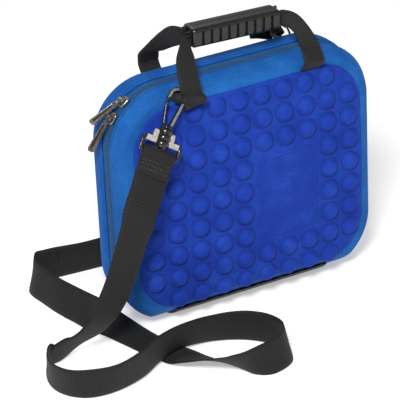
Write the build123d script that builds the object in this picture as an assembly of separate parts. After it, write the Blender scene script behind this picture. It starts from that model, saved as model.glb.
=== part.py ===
from build123d import *
import math
import os
from typing import NamedTuple

# Soft moulded lunch case with a full-perimeter zip, twin webbing handles with a split grip,
# and a shoulder strap on two swivel snap hooks.  Millimetres, +Z up, X to the right, Y to the back.
# Modelled about the zip plane y = 0 and shifted at export, so that the origin is the centre
# of the case's footprint.

# ---------------------------------------------------------------- driving dimensions
CASE_W = 255.0
CASE_TOP = 226.6
CASE_BOTTOM = 1.6
CORNER_R = 55.0         # corners of the outline seen from the front
WALL = 4.0
ZIP_GAP = 7.5           # zip plane to each shell's edge
CROWN_R = 1250.0        # spherical crown of shells and panels
CROWN_Z = 115.0
ROLL_Y = 12.5           # axis of both lower rolls
UNDERSIDE_Z = 0.7       # lowest line of the lower rolls

BASE_HALF = 77.0        # half length of the base strip
BASE_T = 2.4
BASE_TOP = 15.0
BASE_GAP_TOP = 14.0     # height of the gaps left in tape and coil over the base strip
COIL_GAP_HALF = 82.0
STOP_INNER, STOP_OUTER = 78.6, 81.6     # zip end stops, along X

TAPE_INSET, TAPE_T = 3.0, 1.0
TAPE_NEAR, TAPE_FAR = 2.8, 13.0         # from the zip plane
TAPE_CLEARANCE = 0.1
COIL_OUTER, COIL_INNER = 1.2, 4.0       # insets
COIL_NEAR, COIL_FAR = 0.15, 2.7
LINING_OUTER, LINING_INNER = 4.15, 5.2  # insets

PANEL_W, PANEL_H, PANEL_R = 227.0, 196.0, 43.0
PANEL_Z = 115.6
PANEL_ROLL = 1.0        # panel thickness over the lower roll
DOME_PITCH = 22.0
DOME_D, DOME_H = 18.5, 4.2
DOME_ROOT = 0.9         # dome sunk below the panel surface
LABEL_X, LABEL_W, LABEL_R = 33.0, 58.0, 8.0
LABEL_BOTTOM, LABEL_TOP = 65.0, 143.0
LABEL_RIM, LABEL_RISE = 1.4, 0.8

HANDLE_W, HANDLE_T = 20.0, 1.6
GRIP_L, GRIP_H, GRIP_D = 86.0, 18.0, 10.0
STRAP_W, STRAP_T = 30.0, 1.5
STRAP_CLEARANCE_Z = 0.25                # lowest a ribbon may lie
ADJUSTER_X, ADJUSTER_Y, ADJUSTER_Z = -16.0, 101.0, 19.8
ORIGIN_SHIFT = -6.0     # zip plane sits 6 mm in front of the footprint's centre

FAR_X, FAR_Y, FAR_Z = 150.0, 90.0, 260.0    # reach of cutting blocks, clear of the case


class Half(NamedTuple):
    name: str
    side: int           # -1 front, +1 rear
    depth: float        # zip plane to shell crown
    edge_roll: float    # fillet round the shell's face
    roll_r: float       # lower roll
    crest: float        # zip plane to panel crown
    panel_near: float   # where the panel blank starts, from the zip plane

    @property
    def roll_z(self):
        return UNDERSIDE_Z + self.roll_r


FRONT = Half("front", -1, depth=31.8, edge_roll=24.0, roll_r=46.5, crest=34.0, panel_near=10.0)
REAR = Half("rear", 1, depth=43.8, edge_roll=29.0, roll_r=33.5, crest=46.0, panel_near=14.0)


# ---------------------------------------------------------------- basic solids
def slab(x0, x1, y0, y1, z0, z1):
    return Pos((x0 + x1) / 2, (y0 + y1) / 2, (z0 + z1) / 2) * Box(x1 - x0, y1 - y0, z1 - z0)


def y_span(side, near, far):
    """y range between two distances outward from the zip plane"""
    return sorted((side * near, side * far))


def block(half, near, far=FAR_Y, z0=0, z1=FAR_Z, half_x=FAR_X):
    return slab(-half_x, half_x, *y_span(half.side, near, far), z0, z1)


def outline(width, z0, z1, radius, y0, y1, x=0.0):
    """rounded rectangle in XZ, extruded from y0 to y1"""
    plane = Plane(origin=(x, y1, (z0 + z1) / 2), x_dir=(1, 0, 0), z_dir=(0, -1, 0))
    return extrude(plane * RectangleRounded(width, z1 - z0, radius), amount=y1 - y0)


def roll_rod(half, offset, half_x=FAR_X):
    """rod along X that forms the lower roll"""
    rod = Rot(0, 90, 0) * Cylinder(half.roll_r + offset, 2 * half_x)
    return Pos(0, ROLL_Y, half.roll_z) * rod


def rolled_body(half, offset):
    """everything above the lower roll"""
    return roll_rod(half, offset) + block(half, -1, z0=half.roll_z)


def rod_y(y, radius, length, z=0.0):
    return Pos(0, y, z) * Rot(90, 0, 0) * Cylinder(radius, length)


def crown(half, distance):
    return Pos(0, half.side * (distance - CROWN_R), CROWN_Z) * Sphere(CROWN_R)


# ---------------------------------------------------------------- case halves
def envelope(half, inset):
    """outer form of one half, inset, from the zip plane outward"""
    depth = half.depth - inset
    body = outline(CASE_W - 2 * inset, CASE_BOTTOM + inset, CASE_TOP - inset,
                   CORNER_R - inset, *y_span(half.side, 0.0, depth))
    face_y = half.side * depth
    rim = body.edges().filter_by_position(Axis.Y, face_y - 0.01, face_y + 0.01)
    body = fillet(rim, radius=half.edge_roll - inset)
    body = body & crown(half, depth)
    low = rolled_body(half, -inset)
    if half is REAR:
        # flat floor between the zip plane and the roll's axis
        low = low + block(half, -1, ROLL_Y, UNDERSIDE_Z + inset, half.roll_z + 1)
    body = body & low
    return body & block(half, -FAR_Y, z0=BASE_T + inset)


def ring(half, outer_inset, inner_inset, near, far=FAR_Y):
    """band between two insets, near and far measured from the zip plane"""
    return (envelope(half, outer_inset) - envelope(half, inner_inset)) & block(half, near, far)


def shell(half, outer):
    wall = (outer - envelope(half, WALL)) & block(half, ZIP_GAP)
    rebate = ring(half, TAPE_INSET - 0.05, WALL + TAPE_CLEARANCE,
                  TAPE_NEAR - TAPE_CLEARANCE, TAPE_FAR + TAPE_CLEARANCE)
    return wall - rebate


def base_gap(half_x):
    return slab(-half_x, half_x, -40, 40, 0, BASE_GAP_TOP)


def zip_tape(half):
    tape = ring(half, TAPE_INSET, TAPE_INSET + TAPE_T, TAPE_NEAR, TAPE_FAR)
    return tape - base_gap(BASE_HALF + 1)


def coil_ring(half):
    return ring(half, COIL_OUTER, COIL_INNER, COIL_NEAR, COIL_FAR)


def zip_coil(half):
    return coil_ring(half) - base_gap(COIL_GAP_HALF)


def zip_end_stops():
    coil = coil_ring(FRONT)
    right = coil & slab(STOP_INNER, STOP_OUTER, -5, 0, 0, BASE_GAP_TOP)
    left = coil & slab(-STOP_OUTER, -STOP_INNER, -5, 0, 0, BASE_GAP_TOP)
    return right + left


def lining(half):
    return ring(half, LINING_OUTER, LINING_INNER, TAPE_NEAR)


def base_strip(half, outer):
    """strip that wraps under the case, on the outside of the lower roll"""
    low = roll_rod(half, BASE_T, BASE_HALF)
    if half is REAR:
        low = low + block(half, 0.0, ROLL_Y, -2, BASE_TOP, BASE_HALF)
    return (low & block(half, 0.0, z1=BASE_TOP, half_x=BASE_HALF)) - outer


# ---------------------------------------------------------------- moulded dome panels
def panel_y(half, x, z):
    """y of the panel surface at (x, z)"""
    out = half.crest - (x * x + (z - CROWN_Z) ** 2) / (2 * CROWN_R)
    if z < half.roll_z:
        radius = half.roll_r + PANEL_ROLL
        rise = math.sqrt(max(0.0, radius * radius - (half.roll_z - z) ** 2))
        out = min(out, half.side * ROLL_Y + rise)
    return half.side * out


def panel_plane(half, x, z, step=0.5):
    """plane on the panel surface, facing outward"""
    slope_x = (panel_y(half, x + step, z) - panel_y(half, x - step, z)) / (2 * step)
    slope_z = (panel_y(half, x, z + step) - panel_y(half, x, z - step)) / (2 * step)
    normal = Vector(-slope_x * half.side, half.side, -slope_z * half.side)
    return Plane(origin=(x, panel_y(half, x, z), z), z_dir=normal)


def dome_cap():
    radius = ((DOME_D / 2) ** 2 + DOME_H ** 2) / (2 * DOME_H)
    return Pos(0, 0, DOME_H - radius) * Sphere(radius) & Pos(0, 0, 10 - DOME_ROOT) * Box(60, 60, 20)


def label_frame():
    """raised rectangular rim on the front panel"""
    rim = outline(LABEL_W, LABEL_BOTTOM, LABEL_TOP, LABEL_R, -60, -20, LABEL_X)
    opening = outline(LABEL_W - 2 * LABEL_RIM, LABEL_BOTTOM + LABEL_RIM, LABEL_TOP - LABEL_RIM,
                      LABEL_R - LABEL_RIM, -61, -19, LABEL_X)
    return (rim - opening) & crown(FRONT, FRONT.crest + LABEL_RISE)


def dome_panel(half, outer):
    plate = outline(PANEL_W, PANEL_Z - PANEL_H / 2, PANEL_Z + PANEL_H / 2, PANEL_R,
                    *y_span(half.side, half.panel_near, 70))
    plate = plate & crown(half, half.crest)
    if half is FRONT:
        plate = plate + label_frame()
    plate = (plate & rolled_body(half, PANEL_ROLL)) - outer
    cap = dome_cap()
    caps = []
    for row in range(1, 10):
        for col in range(10):
            at_corner = row in (1, 9) and col in (0, 9)
            in_label = half is FRONT and 4 <= row <= 7 and 5 <= col <= 7
            if at_corner or in_label:
                continue
            x = (col - 4.5) * DOME_PITCH
            z = CROWN_Z + (5 - row) * DOME_PITCH
            caps.append(panel_plane(half, x, z) * cap)
    return plate + caps


# ---------------------------------------------------------------- zip sliders and pulls
ARC_CENTRE = Vector(-(CASE_W / 2 - CORNER_R), 0, CASE_TOP - CORNER_R)   # upper left corner
PIVOT_H = 4.7           # pull's pivot above the slider's base

# name: (place on the corner arc, direction of the pull), degrees from +X
SLIDERS = {"upper": (128.0, 205.6), "lower": (146.0, 233.0)}


def direction_xz(degrees):
    angle = math.radians(degrees)
    return Vector(math.cos(angle), 0, math.sin(angle))


def slider_base(radial):
    return ARC_CENTRE + radial * (CORNER_R - 1.0)


def zip_slider(radial):
    plane = Plane(origin=slider_base(radial), x_dir=(-radial.Z, 0, radial.X), z_dir=radial)
    body = extrude(plane * RectangleRounded(11.0, 8.6, 2.0), amount=2.6)
    lug = Box(4.2, 1.5, 3.6)
    lugs = plane * (Pos(0, 3.0, 4.1) * lug + Pos(0, -3.0, 4.1) * lug)
    return body + lugs + plane * rod_y(0, 0.7, 7.4, z=PIVOT_H)


def pull_plane(radial, along):
    up = Vector(-along.Z, 0, along.X)
    if up.dot(radial) < 0:
        up = up * -1
    return Plane(origin=slider_base(radial) + radial * PIVOT_H, x_dir=along, z_dir=up)


def tablet(x, length, width, radius, thick):
    face = Plane(origin=(x, 0, -thick / 2)) * RectangleRounded(length, width, radius)
    return extrude(face, amount=thick)


def zip_pull():
    """frame with its pivot eye at the origin, reaching along +X"""
    blade = tablet(18.4, 30.0, 7.4, 3.0, 3.0)
    slot = tablet(18.9, 23.0, 4.2, 2.0, 5.0)
    neck = Pos(2.4, 0, 0) * Box(4.8, 3.8, 2.2)
    return neck + rod_y(0, 1.6, 3.8) + blade - slot - rod_y(0, 1.0, 20)


def pull_inlay():
    return tablet(18.9, 22.8, 4.0, 1.9, 2.4)


# ---------------------------------------------------------------- ribbons
def catmull(points, steps):
    """Catmull-Rom spline through the points, steps samples to a span"""
    out = []
    for i in range(len(points) - 1):
        span = (points[max(i - 1, 0)], points[i], points[i + 1],
                points[min(i + 2, len(points) - 1)])
        for k in range(steps):
            t = k / steps
            out.append(tuple(
                0.5 * (2 * b + (c - a) * t + (2 * a - 5 * b + 4 * c - d) * t * t
                       + (3 * b - 3 * c + d - a) * t ** 3)
                for a, b, c, d in zip(*span)))
    out.append(tuple(points[-1]))
    return out


def ribbon(stations, thick, steps=2):
    """stations: (centre, width direction, width); ruled loft through rectangular sections"""
    rows = [tuple(centre) + tuple(Vector(*across).normalized()) + (width,)
            for centre, across, width in stations]
    rows = catmull(rows, steps)
    centres = [Vector(*row[:3]) for row in rows]
    sections = []
    for i, row in enumerate(rows):
        along = centres[min(i + 1, len(rows) - 1)] - centres[max(i - 1, 0)]
        along = along.normalized()
        across = Vector(*row[3:6]).normalized()
        across = (across - along * across.dot(along)).normalized()
        normal = along.cross(across).normalized()
        half_w, half_t = row[6] / 2, thick / 2
        # lift the section clear of the ground; the next section's tangent uses the lifted centre
        low = centres[i].Z - abs(across.Z) * half_w - abs(normal.Z) * half_t
        if low < STRAP_CLEARANCE_Z:
            centres[i] = centres[i] + Vector(0, 0, STRAP_CLEARANCE_Z - low)
        corners = [centres[i] + across * (u * half_w) + normal * (v * half_t)
                   for u, v in ((1, 1), (-1, 1), (-1, -1), (1, -1))]
        sections.append(Wire.make_polygon(corners, close=True))
    return Solid.make_loft(sections, ruled=True)


def with_width(rows, width):
    return [(centre, across, width) for centre, across in rows]


def edge_stations(pairs):
    """strap stations from pairs of points on its two edges"""
    out = []
    for first, second in pairs:
        first, second = Vector(*first), Vector(*second)
        middle = (first + second) * 0.5
        out.append((tuple(middle), tuple((second - first).normalized()), STRAP_W))
    return out


def rope(points, radius):
    """round cord along straight runs, with balls at the bends"""
    cord = None
    for start, end in zip(points[:-1], points[1:]):
        start = Vector(*start)
        run = Vector(*end) - start
        piece = Plane(origin=start + run * 0.5, z_dir=run) * Cylinder(radius, run.length)
        cord = piece if cord is None else cord + piece
    for point in points[1:-1]:
        cord = cord + Pos(*point) * Sphere(radius)
    return cord


# ---------------------------------------------------------------- handles and grip
# stations from left foot to right foot: centre, width direction, width
FRONT_HANDLE = [
    ((-59.7, -35.8, 225.0), (1, 0, -0.085), 20),
    ((-60.4, -34.8, 234.0), (0.978, 0, -0.211), 20),
    ((-58.2, -26.0, 245.6), (0.958, 0, -0.288), 20),
    ((-53.5, -17.5, 252.0), (0.93, 0, -0.37), 16.5),
    ((-49.0, -9.5, 257.0), (0.80, 0, -0.60), 12.0),
    ((-45.0, -5.6, 259.6), (0.45, 0, -0.89), 13),
    ((-40.0, -5.0, 260.1), (0.0, 0, -1), 14),
    ((2.0, -5.0, 258.8), (0.0, 0, -1), 14),
    ((44.0, -5.0, 257.5), (0.0, 0, -1), 14),
    ((50.0, -6.0, 257.0), (-0.3, 0, -0.95), 14),
    ((56.5, -9.5, 253.6), (-0.6, 0, -0.8), 14),
    ((61.0, -15.5, 246.6), (-0.85, 0, -0.5), 14),
    ((63.0, -24.0, 237.0), (-0.98, 0, -0.15), 17),
    ((62.0, -31.5, 231.0), (-0.97, 0, 0.20), 20),
    ((61.5, -35.4, 225.2), (-0.98, 0, 0.1), 20),
]
REAR_HANDLE = [
    ((-57.0, 47.4, 225.2), (1, 0, -0.05), 20),
    ((-58.2, 44.6, 230.6), (1, 0, -0.03), 20),
    ((-59.3, 40.2, 235.4), (0.99, 0, -0.12), 20),
    ((-58.4, 33.0, 240.6), (0.90, 0, -0.42), 18.5),
    ((-56.0, 25.0, 247.4), (0.70, 0, -0.70), 18),
    ((-52.8, 17.0, 254.0), (0.42, 0, -0.90), 18.5),
    ((-49.5, 10.5, 258.6), (0.15, 0, -0.98), 19),
    ((-46.0, 6.5, 259.8), (0.0, 0, -1), 16),
    ((-40.0, 5.0, 260.1), (0.0, 0, -1), 14),
    ((2.0, 5.0, 258.8), (0.0, 0, -1), 14),
    ((44.0, 5.0, 257.5), (0.0, 0, -1), 14),
    ((49.5, 7.5, 256.0), (0.1, -0.35, -0.93), 14),
    ((52.5, 15.5, 249.5), (0.6, -0.45, -0.65), 14),
    ((55.0, 27.5, 239.8), (0.93, -0.2, -0.3), 17),
    ((58.8, 45.4, 232.0), (0.99, -0.06, 0.0), 20),
    ((59.7, 47.4, 225.2), (1, 0, 0.085), 20),
]
GRIP_START = Vector(-41.5, 0.0, 260.2)      # left end of the grip's axis
GRIP_DIR = (Vector(45.5, 0.0, 257.4) - GRIP_START).normalized()


def grip_half(side):
    """half grip in local axes: x along the grip, y to the back, z up"""
    plane = Plane(origin=GRIP_START, x_dir=GRIP_DIR, z_dir=GRIP_DIR.cross(Vector(0, 1, 0)))
    body = slab(0, GRIP_L, *y_span(side, 0.15, GRIP_D), -GRIP_H / 2, GRIP_H / 2)
    face_y = side * GRIP_D
    edges = body.edges().filter_by(Axis.X)
    edges = edges.filter_by_position(Axis.Y, face_y - 0.01, face_y + 0.01)
    body = fillet(edges, radius=3.4)
    # channel for the webbing, then the grooves across the face
    body = body - slab(-1, GRIP_L + 1, *y_span(side, 3.6, 6.4), -7.6, 7.6)
    for i in range(9):
        x = 9.0 + i * 8.5
        body = body - slab(x - 1.4, x + 1.4, *y_span(side, 8.2, GRIP_D + 1), -6.2, 5.2)
    return plane * body


def plain_foot(x):
    """handle end tucked under the front panel's upper edge"""
    rows = [
        ((x, -35.9, 222.9), (-1, 0, 0.1)),
        ((x, -33.2, 218.4), (-1, 0, 0.1)),
        ((x, -29.6, 215.4), (-1, 0, 0.0)),
    ]
    return ribbon(with_width(rows, HANDLE_W), HANDLE_T, steps=1)


# ---------------------------------------------------------------- swivel snap hooks
HOOK_TOP = Vector(-67.7, -29.0, 229.2)
HOOK_DOWN = Vector(-0.565, -0.357, -0.744).normalized()
HOOK_ACROSS = Vector(0.825, -0.247, -0.507)     # to the right
HOOK_ACROSS = (HOOK_ACROSS - HOOK_DOWN * HOOK_ACROSS.dot(HOOK_DOWN)).normalized()
HOOK_OUT = HOOK_ACROSS.cross(HOOK_DOWN * -1).normalized()
# hook's local axes: x across, y up from the top of its arc, z out of its face
HOOK = Plane(origin=HOOK_TOP, x_dir=HOOK_ACROSS, z_dir=HOOK_OUT)
TURN_Y = REAR.crest - FRONT.crest       # twice the y of the case's mid-depth axis


def to_rear(shape):
    """half turn about the case's vertical mid-depth axis"""
    return shape.moved(Location((0, TURN_Y, 0), (0, 0, 180)))


def looped_foot():
    """handle end with a round fold through the hook"""
    rows = [
        ((-59.7, -36.6, 223.0), (1, 0, -0.085)),
        ((-59.2, -39.0, 219.8), (0.97, -0.1, 0.15)),
        ((-58.9, -40.9, 217.3), (0.94, -0.2, 0.28)),
    ]
    flap = ribbon(with_width(rows, HANDLE_W), HANDLE_T, steps=1)
    inside = HOOK_TOP + HOOK_DOWN * 10
    fold = rope([(-61.5, -39.6, 218.6), (-68.5, -39.4, 221.0), tuple(inside + HOOK_OUT * 5.4),
                 tuple(inside - HOOK_OUT * 5), (-66.0, -21.2, 225.9)], 1.9)
    return flap + fold


def band(points, width):
    """polygon of constant width about a centre line"""
    left, right = [], []
    for i, (x, y) in enumerate(points):
        before = points[max(i - 1, 0)]
        after = points[min(i + 1, len(points) - 1)]
        dx, dy = after[0] - before[0], after[1] - before[1]
        length = math.hypot(dx, dy)
        nx, ny = -dy / length * width / 2, dx / length * width / 2
        left.append((x + nx, y + ny))
        right.append((x - nx, y - ny))
    return left + right[::-1]


def polygon(points):
    return make_face(Polyline(*points, close=True).edges())


def plate_xy(points, half_t):
    return extrude(Pos(0, 0, -half_t) * polygon(points), amount=2 * half_t)


def rect(x0, x1, y0, y1):
    return [(x0, y0), (x1, y0), (x1, y1), (x0, y1)]


def hook_claw():
    """claw with its collar and the headed swivel post"""
    line = [(2.2, -35.6), (4.4, -26), (6.4, -16)]
    for k in range(13):
        angle = math.pi * k / 12
        line.append((0.5 + 6.5 * math.cos(angle), -8.2 + 6.5 * math.sin(angle)))
    line.append((-6.9, -12.6))
    claw = plate_xy(band(line, 3.4), 2.0)
    collar = plate_xy(rect(-4.9, 4.9, -37.1, -35.1), 3.4)
    return claw + collar + rod_y(-45.2, 2.5, 16.6) + rod_y(-53.0, 4.2, 1.6)


def hook_gate():
    return plate_xy(band([(-3.5, -34.6), (-4.9, -28.5), (-6.2, -21), (-6.9, -13.6)], 2.1), 1.9)


def hook_base():
    """grooved barrel with shoulders, side legs and the lower strap bar"""
    profile = [     # radius, y
        (2.8, -37.5), (5.6, -37.5), (6.2, -38.2), (6.2, -40.7), (5.4, -41.2),
        (5.4, -42.4), (6.2, -42.9), (6.2, -45.7), (5.4, -46.2), (5.4, -47.4),
        (6.2, -47.9), (6.2, -54.3), (4.6, -54.3), (4.6, -51.6), (2.8, -51.6),
    ]
    shoulder = [    # x, y of the right-hand one
        (4.7, -51.2), (18, -51.2), (18, -47.4), (9.4, -46.8), (9.2, -39.9), (4.7, -39.9),
    ]
    base = revolve(polygon(profile), Axis.Y, 360)
    for s in (1, -1):
        base = base + plate_xy([(s * x, y) for x, y in shoulder], 2.0)
        base = base + plate_xy(rect(s * 15.3, s * 18.0, -60.0, -48.5), 1.9)
    base = base + plate_xy(rect(-18.3, 18.3, -61.4, -58.4), 1.8)
    return base - rod_y(-44, 2.8, 15.4)


def strap_end():
    """strap end folded round the lower bar"""
    right = [       # y, z of one face, from the strap up over the bar
        (-80.0, -1.6), (-66.0, -1.7), (-62.8, -3.7), (-56.6, -3.7), (-55.2, -2.4),
    ]
    profile = right + [(y, -z) for y, z in reversed(right)]
    plane = Plane(origin=(-STRAP_W / 2, 0, 0), x_dir=(0, 1, 0), z_dir=(1, 0, 0))
    tab = extrude(plane * polygon(profile), amount=STRAP_W)
    return tab - slab(-16, 16, -62.0, -57.8, -2.2, 2.2)


# ---------------------------------------------------------------- shoulder strap
# Sections follow one another along the strap.  "HANG" and "LIE" tables hold centre and width
# direction; "EDGE" tables hold the two edge points of each station.
FRONT_HANG = [
    ((-135.3, -70.8, 134.5), (0.93, -0.12, -0.36)),
    ((-141.2, -70.0, 119.7), (0.986, 0, -0.167)),
    ((-148.7, -66.0, 92.8), (0.999, 0, -0.055)),
    ((-156.2, -60.0, 68.3), (0.988, 0, -0.156)),
    ((-163.5, -51.0, 46.0), (0.95, 0.12, -0.28)),
    ((-171.5, -41.0, 30.0), (0.80, 0.35, -0.48)),
]
FRONT_EDGE_A = [
    ((-190.0, -40.0, 27.0), (-178.0, -18.0, 6.0)),
    ((-202.0, -36.0, 26.0), (-193.0, -17.0, 1.5)),
    ((-213.0, -44.0, 27.5), (-207.0, -29.0, 1.2)),
    ((-221.0, -59.0, 28.5), (-217.0, -46.0, 1.2)),
    ((-222.0, -74.0, 29.5), (-219.5, -66.0, 1.2)),
    ((-215.0, -90.0, 30.5), (-213.0, -84.0, 1.2)),
    ((-199.0, -99.5, 30.8), (-199.0, -95.0, 1.2)),
    ((-178.0, -104.0, 31.0), (-176.0, -98.0, 1.8)),
    ((-154.0, -98.0, 32.0), (-149.0, -92.0, 3.2)),
    ((-132.0, -87.0, 33.5), (-126.0, -80.0, 5.0)),
    ((-109.0, -80.0, 34.0), (-104.0, -70.0, 5.5)),
    ((-90.0, -76.0, 33.0), (-86.0, -68.0, 3.5)),
    ((-72.0, -75.0, 31.5), (-69.0, -69.0, 1.8)),
    ((-55.0, -78.0, 31.0), (-53.0, -75.0, 1.2)),
    ((-40.0, -86.0, 31.0), (-39.0, -85.0, 1.2)),
    ((-28.5, -100.0, 31.0), (-27.0, -100.0, 1.2)),
    ((-25.0, -118.0, 30.5), (-20.5, -117.0, 1.2)),
    ((-35.0, -131.0, 29.0), (-27.0, -136.0, 1.2)),
    ((-55.0, -138.0, 28.5), (-48.0, -144.0, 1.2)),
]
FRONT_LIE = [
    ((-69.0, -137.5, 13.2), (0.35, 0.15, -0.92)),
    ((-79.0, -126.5, 11.2), (0.45, 0.50, -0.74)),
    ((-86.0, -113.5, 8.6), (0.48, 0.68, -0.55)),
    ((-93.4, -101.2, 6.8), (0.55, 0.72, -0.42)),
    ((-100.0, -89.5, 4.4), (0.74, 0.62, -0.24)),
    ((-105.2, -76.5, 1.7), (0.84, 0.54, -0.03)),
    ((-109.8, -62.0, 1.1), (0.86, 0.51, 0.0)),
    ((-115.4, -47.6, 1.1), (0.88, 0.47, 0.0)),
    ((-122.7, -24.3, 2.3), (0.88, 0.46, 0.07)),
    ((-131.7, 0.2, 5.8), (0.82, 0.45, 0.30)),
]
FRONT_EDGE_B = [
    ((-152.0, 17.9, 1.2), (-137.8, 24.0, 25.4)),
    ((-157.0, 36.8, 1.2), (-145.0, 44.0, 27.3)),
    ((-160.5, 54.8, 1.2), (-150.6, 62.6, 28.2)),
    ((-163.0, 73.7, 1.2), (-153.5, 81.4, 28.5)),
    ((-165.2, 90.8, 1.2), (-154.8, 97.0, 28.4)),
    ((-162.8, 102.5, 1.2), (-152.6, 108.5, 28.2)),
    ((-153.0, 110.4, 1.2), (-145.0, 116.6, 29.0)),
    ((-141.0, 111.7, 1.2), (-137.0, 116.2, 30.2)),
    ((-128.6, 110.4, 1.2), (-128.6, 113.0, 31.0)),
]
REAR_EDGE = [
    ((-126.8, 113.0, 31.0), (-126.8, 110.4, 1.2)),
    ((-104.0, 108.0, 31.0), (-104.0, 108.5, 1.2)),
    ((-76.0, 103.5, 33.0), (-76.0, 103.5, 3.0)),
    *(((x, ADJUSTER_Y, 34.8), (x, ADJUSTER_Y, 4.8)) for x in (-52.0, -28.0, -4.0, 20.0)),
    ((50.0, 105.0, 32.5), (50.0, 105.0, 2.5)),
]
REAR_HANG = [
    ((80.0, 109.0, 15.5), (0.0, -0.50, -0.87)),
    ((104.0, 108.0, 13.0), (-0.10, -0.95, -0.25)),
    ((122.0, 102.0, 34.0), (-0.25, -0.96, 0.0)),
    ((131.5, 94.0, 62.0), (-0.60, -0.78, 0.0)),
    ((135.5, 88.0, 90.0), (-0.86, -0.40, -0.10)),
    ((136.2, 85.0, 110.0), (-0.94, -0.05, -0.25)),
    ((135.5, 83.6, 126.0), (-0.95, 0.12, -0.32)),
]
HOOK_RUN = (81.4, 86.0, 100.0, 112.4)   # strap stations below the top of the hook


def front_strap():
    """from the front hook to the join behind the case"""
    start = [(tuple(HOOK_TOP + HOOK_DOWN * k), tuple(HOOK_ACROSS)) for k in HOOK_RUN]
    return ribbon(with_width(start + FRONT_HANG, STRAP_W) + edge_stations(FRONT_EDGE_A)
                  + with_width(FRONT_LIE, STRAP_W) + edge_stations(FRONT_EDGE_B), STRAP_T)


def rear_strap():
    """from the join behind the case to the rear hook"""
    across = (-HOOK_ACROSS.X, -HOOK_ACROSS.Y, HOOK_ACROSS.Z)
    end = []
    for k in (119.4, *reversed(HOOK_RUN)):
        point = HOOK_TOP + HOOK_DOWN * k
        end.append(((-point.X, TURN_Y - point.Y, point.Z), across))
    return ribbon(edge_stations(REAR_EDGE) + with_width(REAR_HANG + end, STRAP_W), STRAP_T)


def strap_adjuster():
    """two rails joined by three bars, the middle bar in front of the outer two"""
    def piece(dx, half_x, y0, y1, z0, z1):
        return slab(ADJUSTER_X + dx - half_x, ADJUSTER_X + dx + half_x,
                    ADJUSTER_Y + y0, ADJUSTER_Y + y1, ADJUSTER_Z + z0, ADJUSTER_Z + z1)

    body = piece(0, 12, -2.6, 2.6, 15.6, 18.6) + piece(0, 12, -2.6, 2.6, -18.6, -15.6)
    for dx, y0, y1 in ((-10.4, 1.0, 2.6), (0.0, -2.6, -1.0), (10.4, 1.0, 2.6)):
        body = body + piece(dx, 1.6, y0, y1, -18.0, 18.0)
    return body


# ---------------------------------------------------------------- build and export
parts = {}
for half in (FRONT, REAR):
    outer = envelope(half, 0.0)
    parts[f"{half.name}_shell"] = shell(half, outer)
    parts[f"{half.name}_zip_tape"] = zip_tape(half)
    parts[f"{half.name}_zip_coil"] = zip_coil(half)
    parts[f"{half.name}_lining"] = lining(half)
    parts[f"base_strip_{half.name}"] = base_strip(half, outer)
    parts[f"{half.name}_panel"] = dome_panel(half, outer)
    parts[f"{half.name}_grip_half"] = grip_half(half.side)

parts["zip_end_stops"] = zip_end_stops()
for name, (place_deg, pull_deg) in SLIDERS.items():
    radial = direction_xz(place_deg)
    plane = pull_plane(radial, direction_xz(pull_deg))
    parts[f"{name}_slider"] = zip_slider(radial)
    parts[f"{name}_pull"] = plane * zip_pull()
    parts[f"{name}_pull_inlay"] = plane * pull_inlay()

parts["front_handle_webbing"] = ribbon(FRONT_HANDLE, HANDLE_T)
parts["rear_handle_webbing"] = ribbon(REAR_HANDLE, HANDLE_T)
parts["front_handle_foot_right"] = plain_foot(61.5)
parts["front_handle_foot_left"] = looped_foot()
parts["rear_handle_foot_right"] = to_rear(looped_foot())
parts["rear_handle_foot_left"] = to_rear(plain_foot(57.0))

for name, build in (("hook_claw", hook_claw), ("hook_gate", hook_gate),
                    ("hook_base", hook_base), ("strap_end", strap_end)):
    placed = HOOK * build()
    parts[f"front_{name}"] = placed
    parts[f"rear_{name}"] = to_rear(placed)

parts["shoulder_strap_front"] = front_strap()
parts["shoulder_strap_rear"] = rear_strap()
parts["strap_adjuster"] = strap_adjuster()

os.makedirs("parts", exist_ok=True)
for name, shape in parts.items():
    solids = shape.moved(Location((0, ORIGIN_SHIFT, 0))).solids()
    body = solids[0] if len(solids) == 1 else Compound(children=list(solids))
    export_step(body, f"parts/{name}.step")
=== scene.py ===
"""Zipped hard case: two moulded halves with dome panels, a shoulder strap on swivel hooks,
two webbing handles closed by a split grip, and a zip with two sliders.

The case stands on z = 0 with its front towards -y and its width along x. Sizes are in mm
and y is measured from the zip plane, unless a name or comment says otherwise.
new_mesh() moves the points into the frame and converts them to metres.
"""
import math
from dataclasses import dataclass

import bmesh
import bpy
import numpy as np
from mathutils import Matrix, Vector


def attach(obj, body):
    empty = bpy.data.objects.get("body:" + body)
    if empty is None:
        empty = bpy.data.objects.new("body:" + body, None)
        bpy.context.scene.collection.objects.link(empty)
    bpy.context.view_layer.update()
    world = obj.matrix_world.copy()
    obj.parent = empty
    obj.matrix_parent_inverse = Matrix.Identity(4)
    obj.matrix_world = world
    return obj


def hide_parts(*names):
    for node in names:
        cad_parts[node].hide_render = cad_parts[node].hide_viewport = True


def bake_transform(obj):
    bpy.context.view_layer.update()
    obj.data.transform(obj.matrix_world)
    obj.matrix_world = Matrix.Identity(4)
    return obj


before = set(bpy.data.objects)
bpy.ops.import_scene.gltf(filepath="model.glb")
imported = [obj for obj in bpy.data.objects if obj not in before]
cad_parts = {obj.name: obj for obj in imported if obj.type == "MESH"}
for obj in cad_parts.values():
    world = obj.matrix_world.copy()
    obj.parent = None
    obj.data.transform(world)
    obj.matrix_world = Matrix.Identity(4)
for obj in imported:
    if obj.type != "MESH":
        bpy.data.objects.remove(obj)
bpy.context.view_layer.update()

MM = 1000.0                # mm in a metre
ZIP_Y = -6.0               # y of the zip plane in the frame
Y_AXIS = np.array([0.0, 1.0, 0.0])


# ------------------------------------------------------------------ vectors and curves
def unit(v):
    v = np.asarray(v, float)
    return v / np.maximum(np.linalg.norm(v, axis=-1, keepdims=True), 1e-12)


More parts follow.
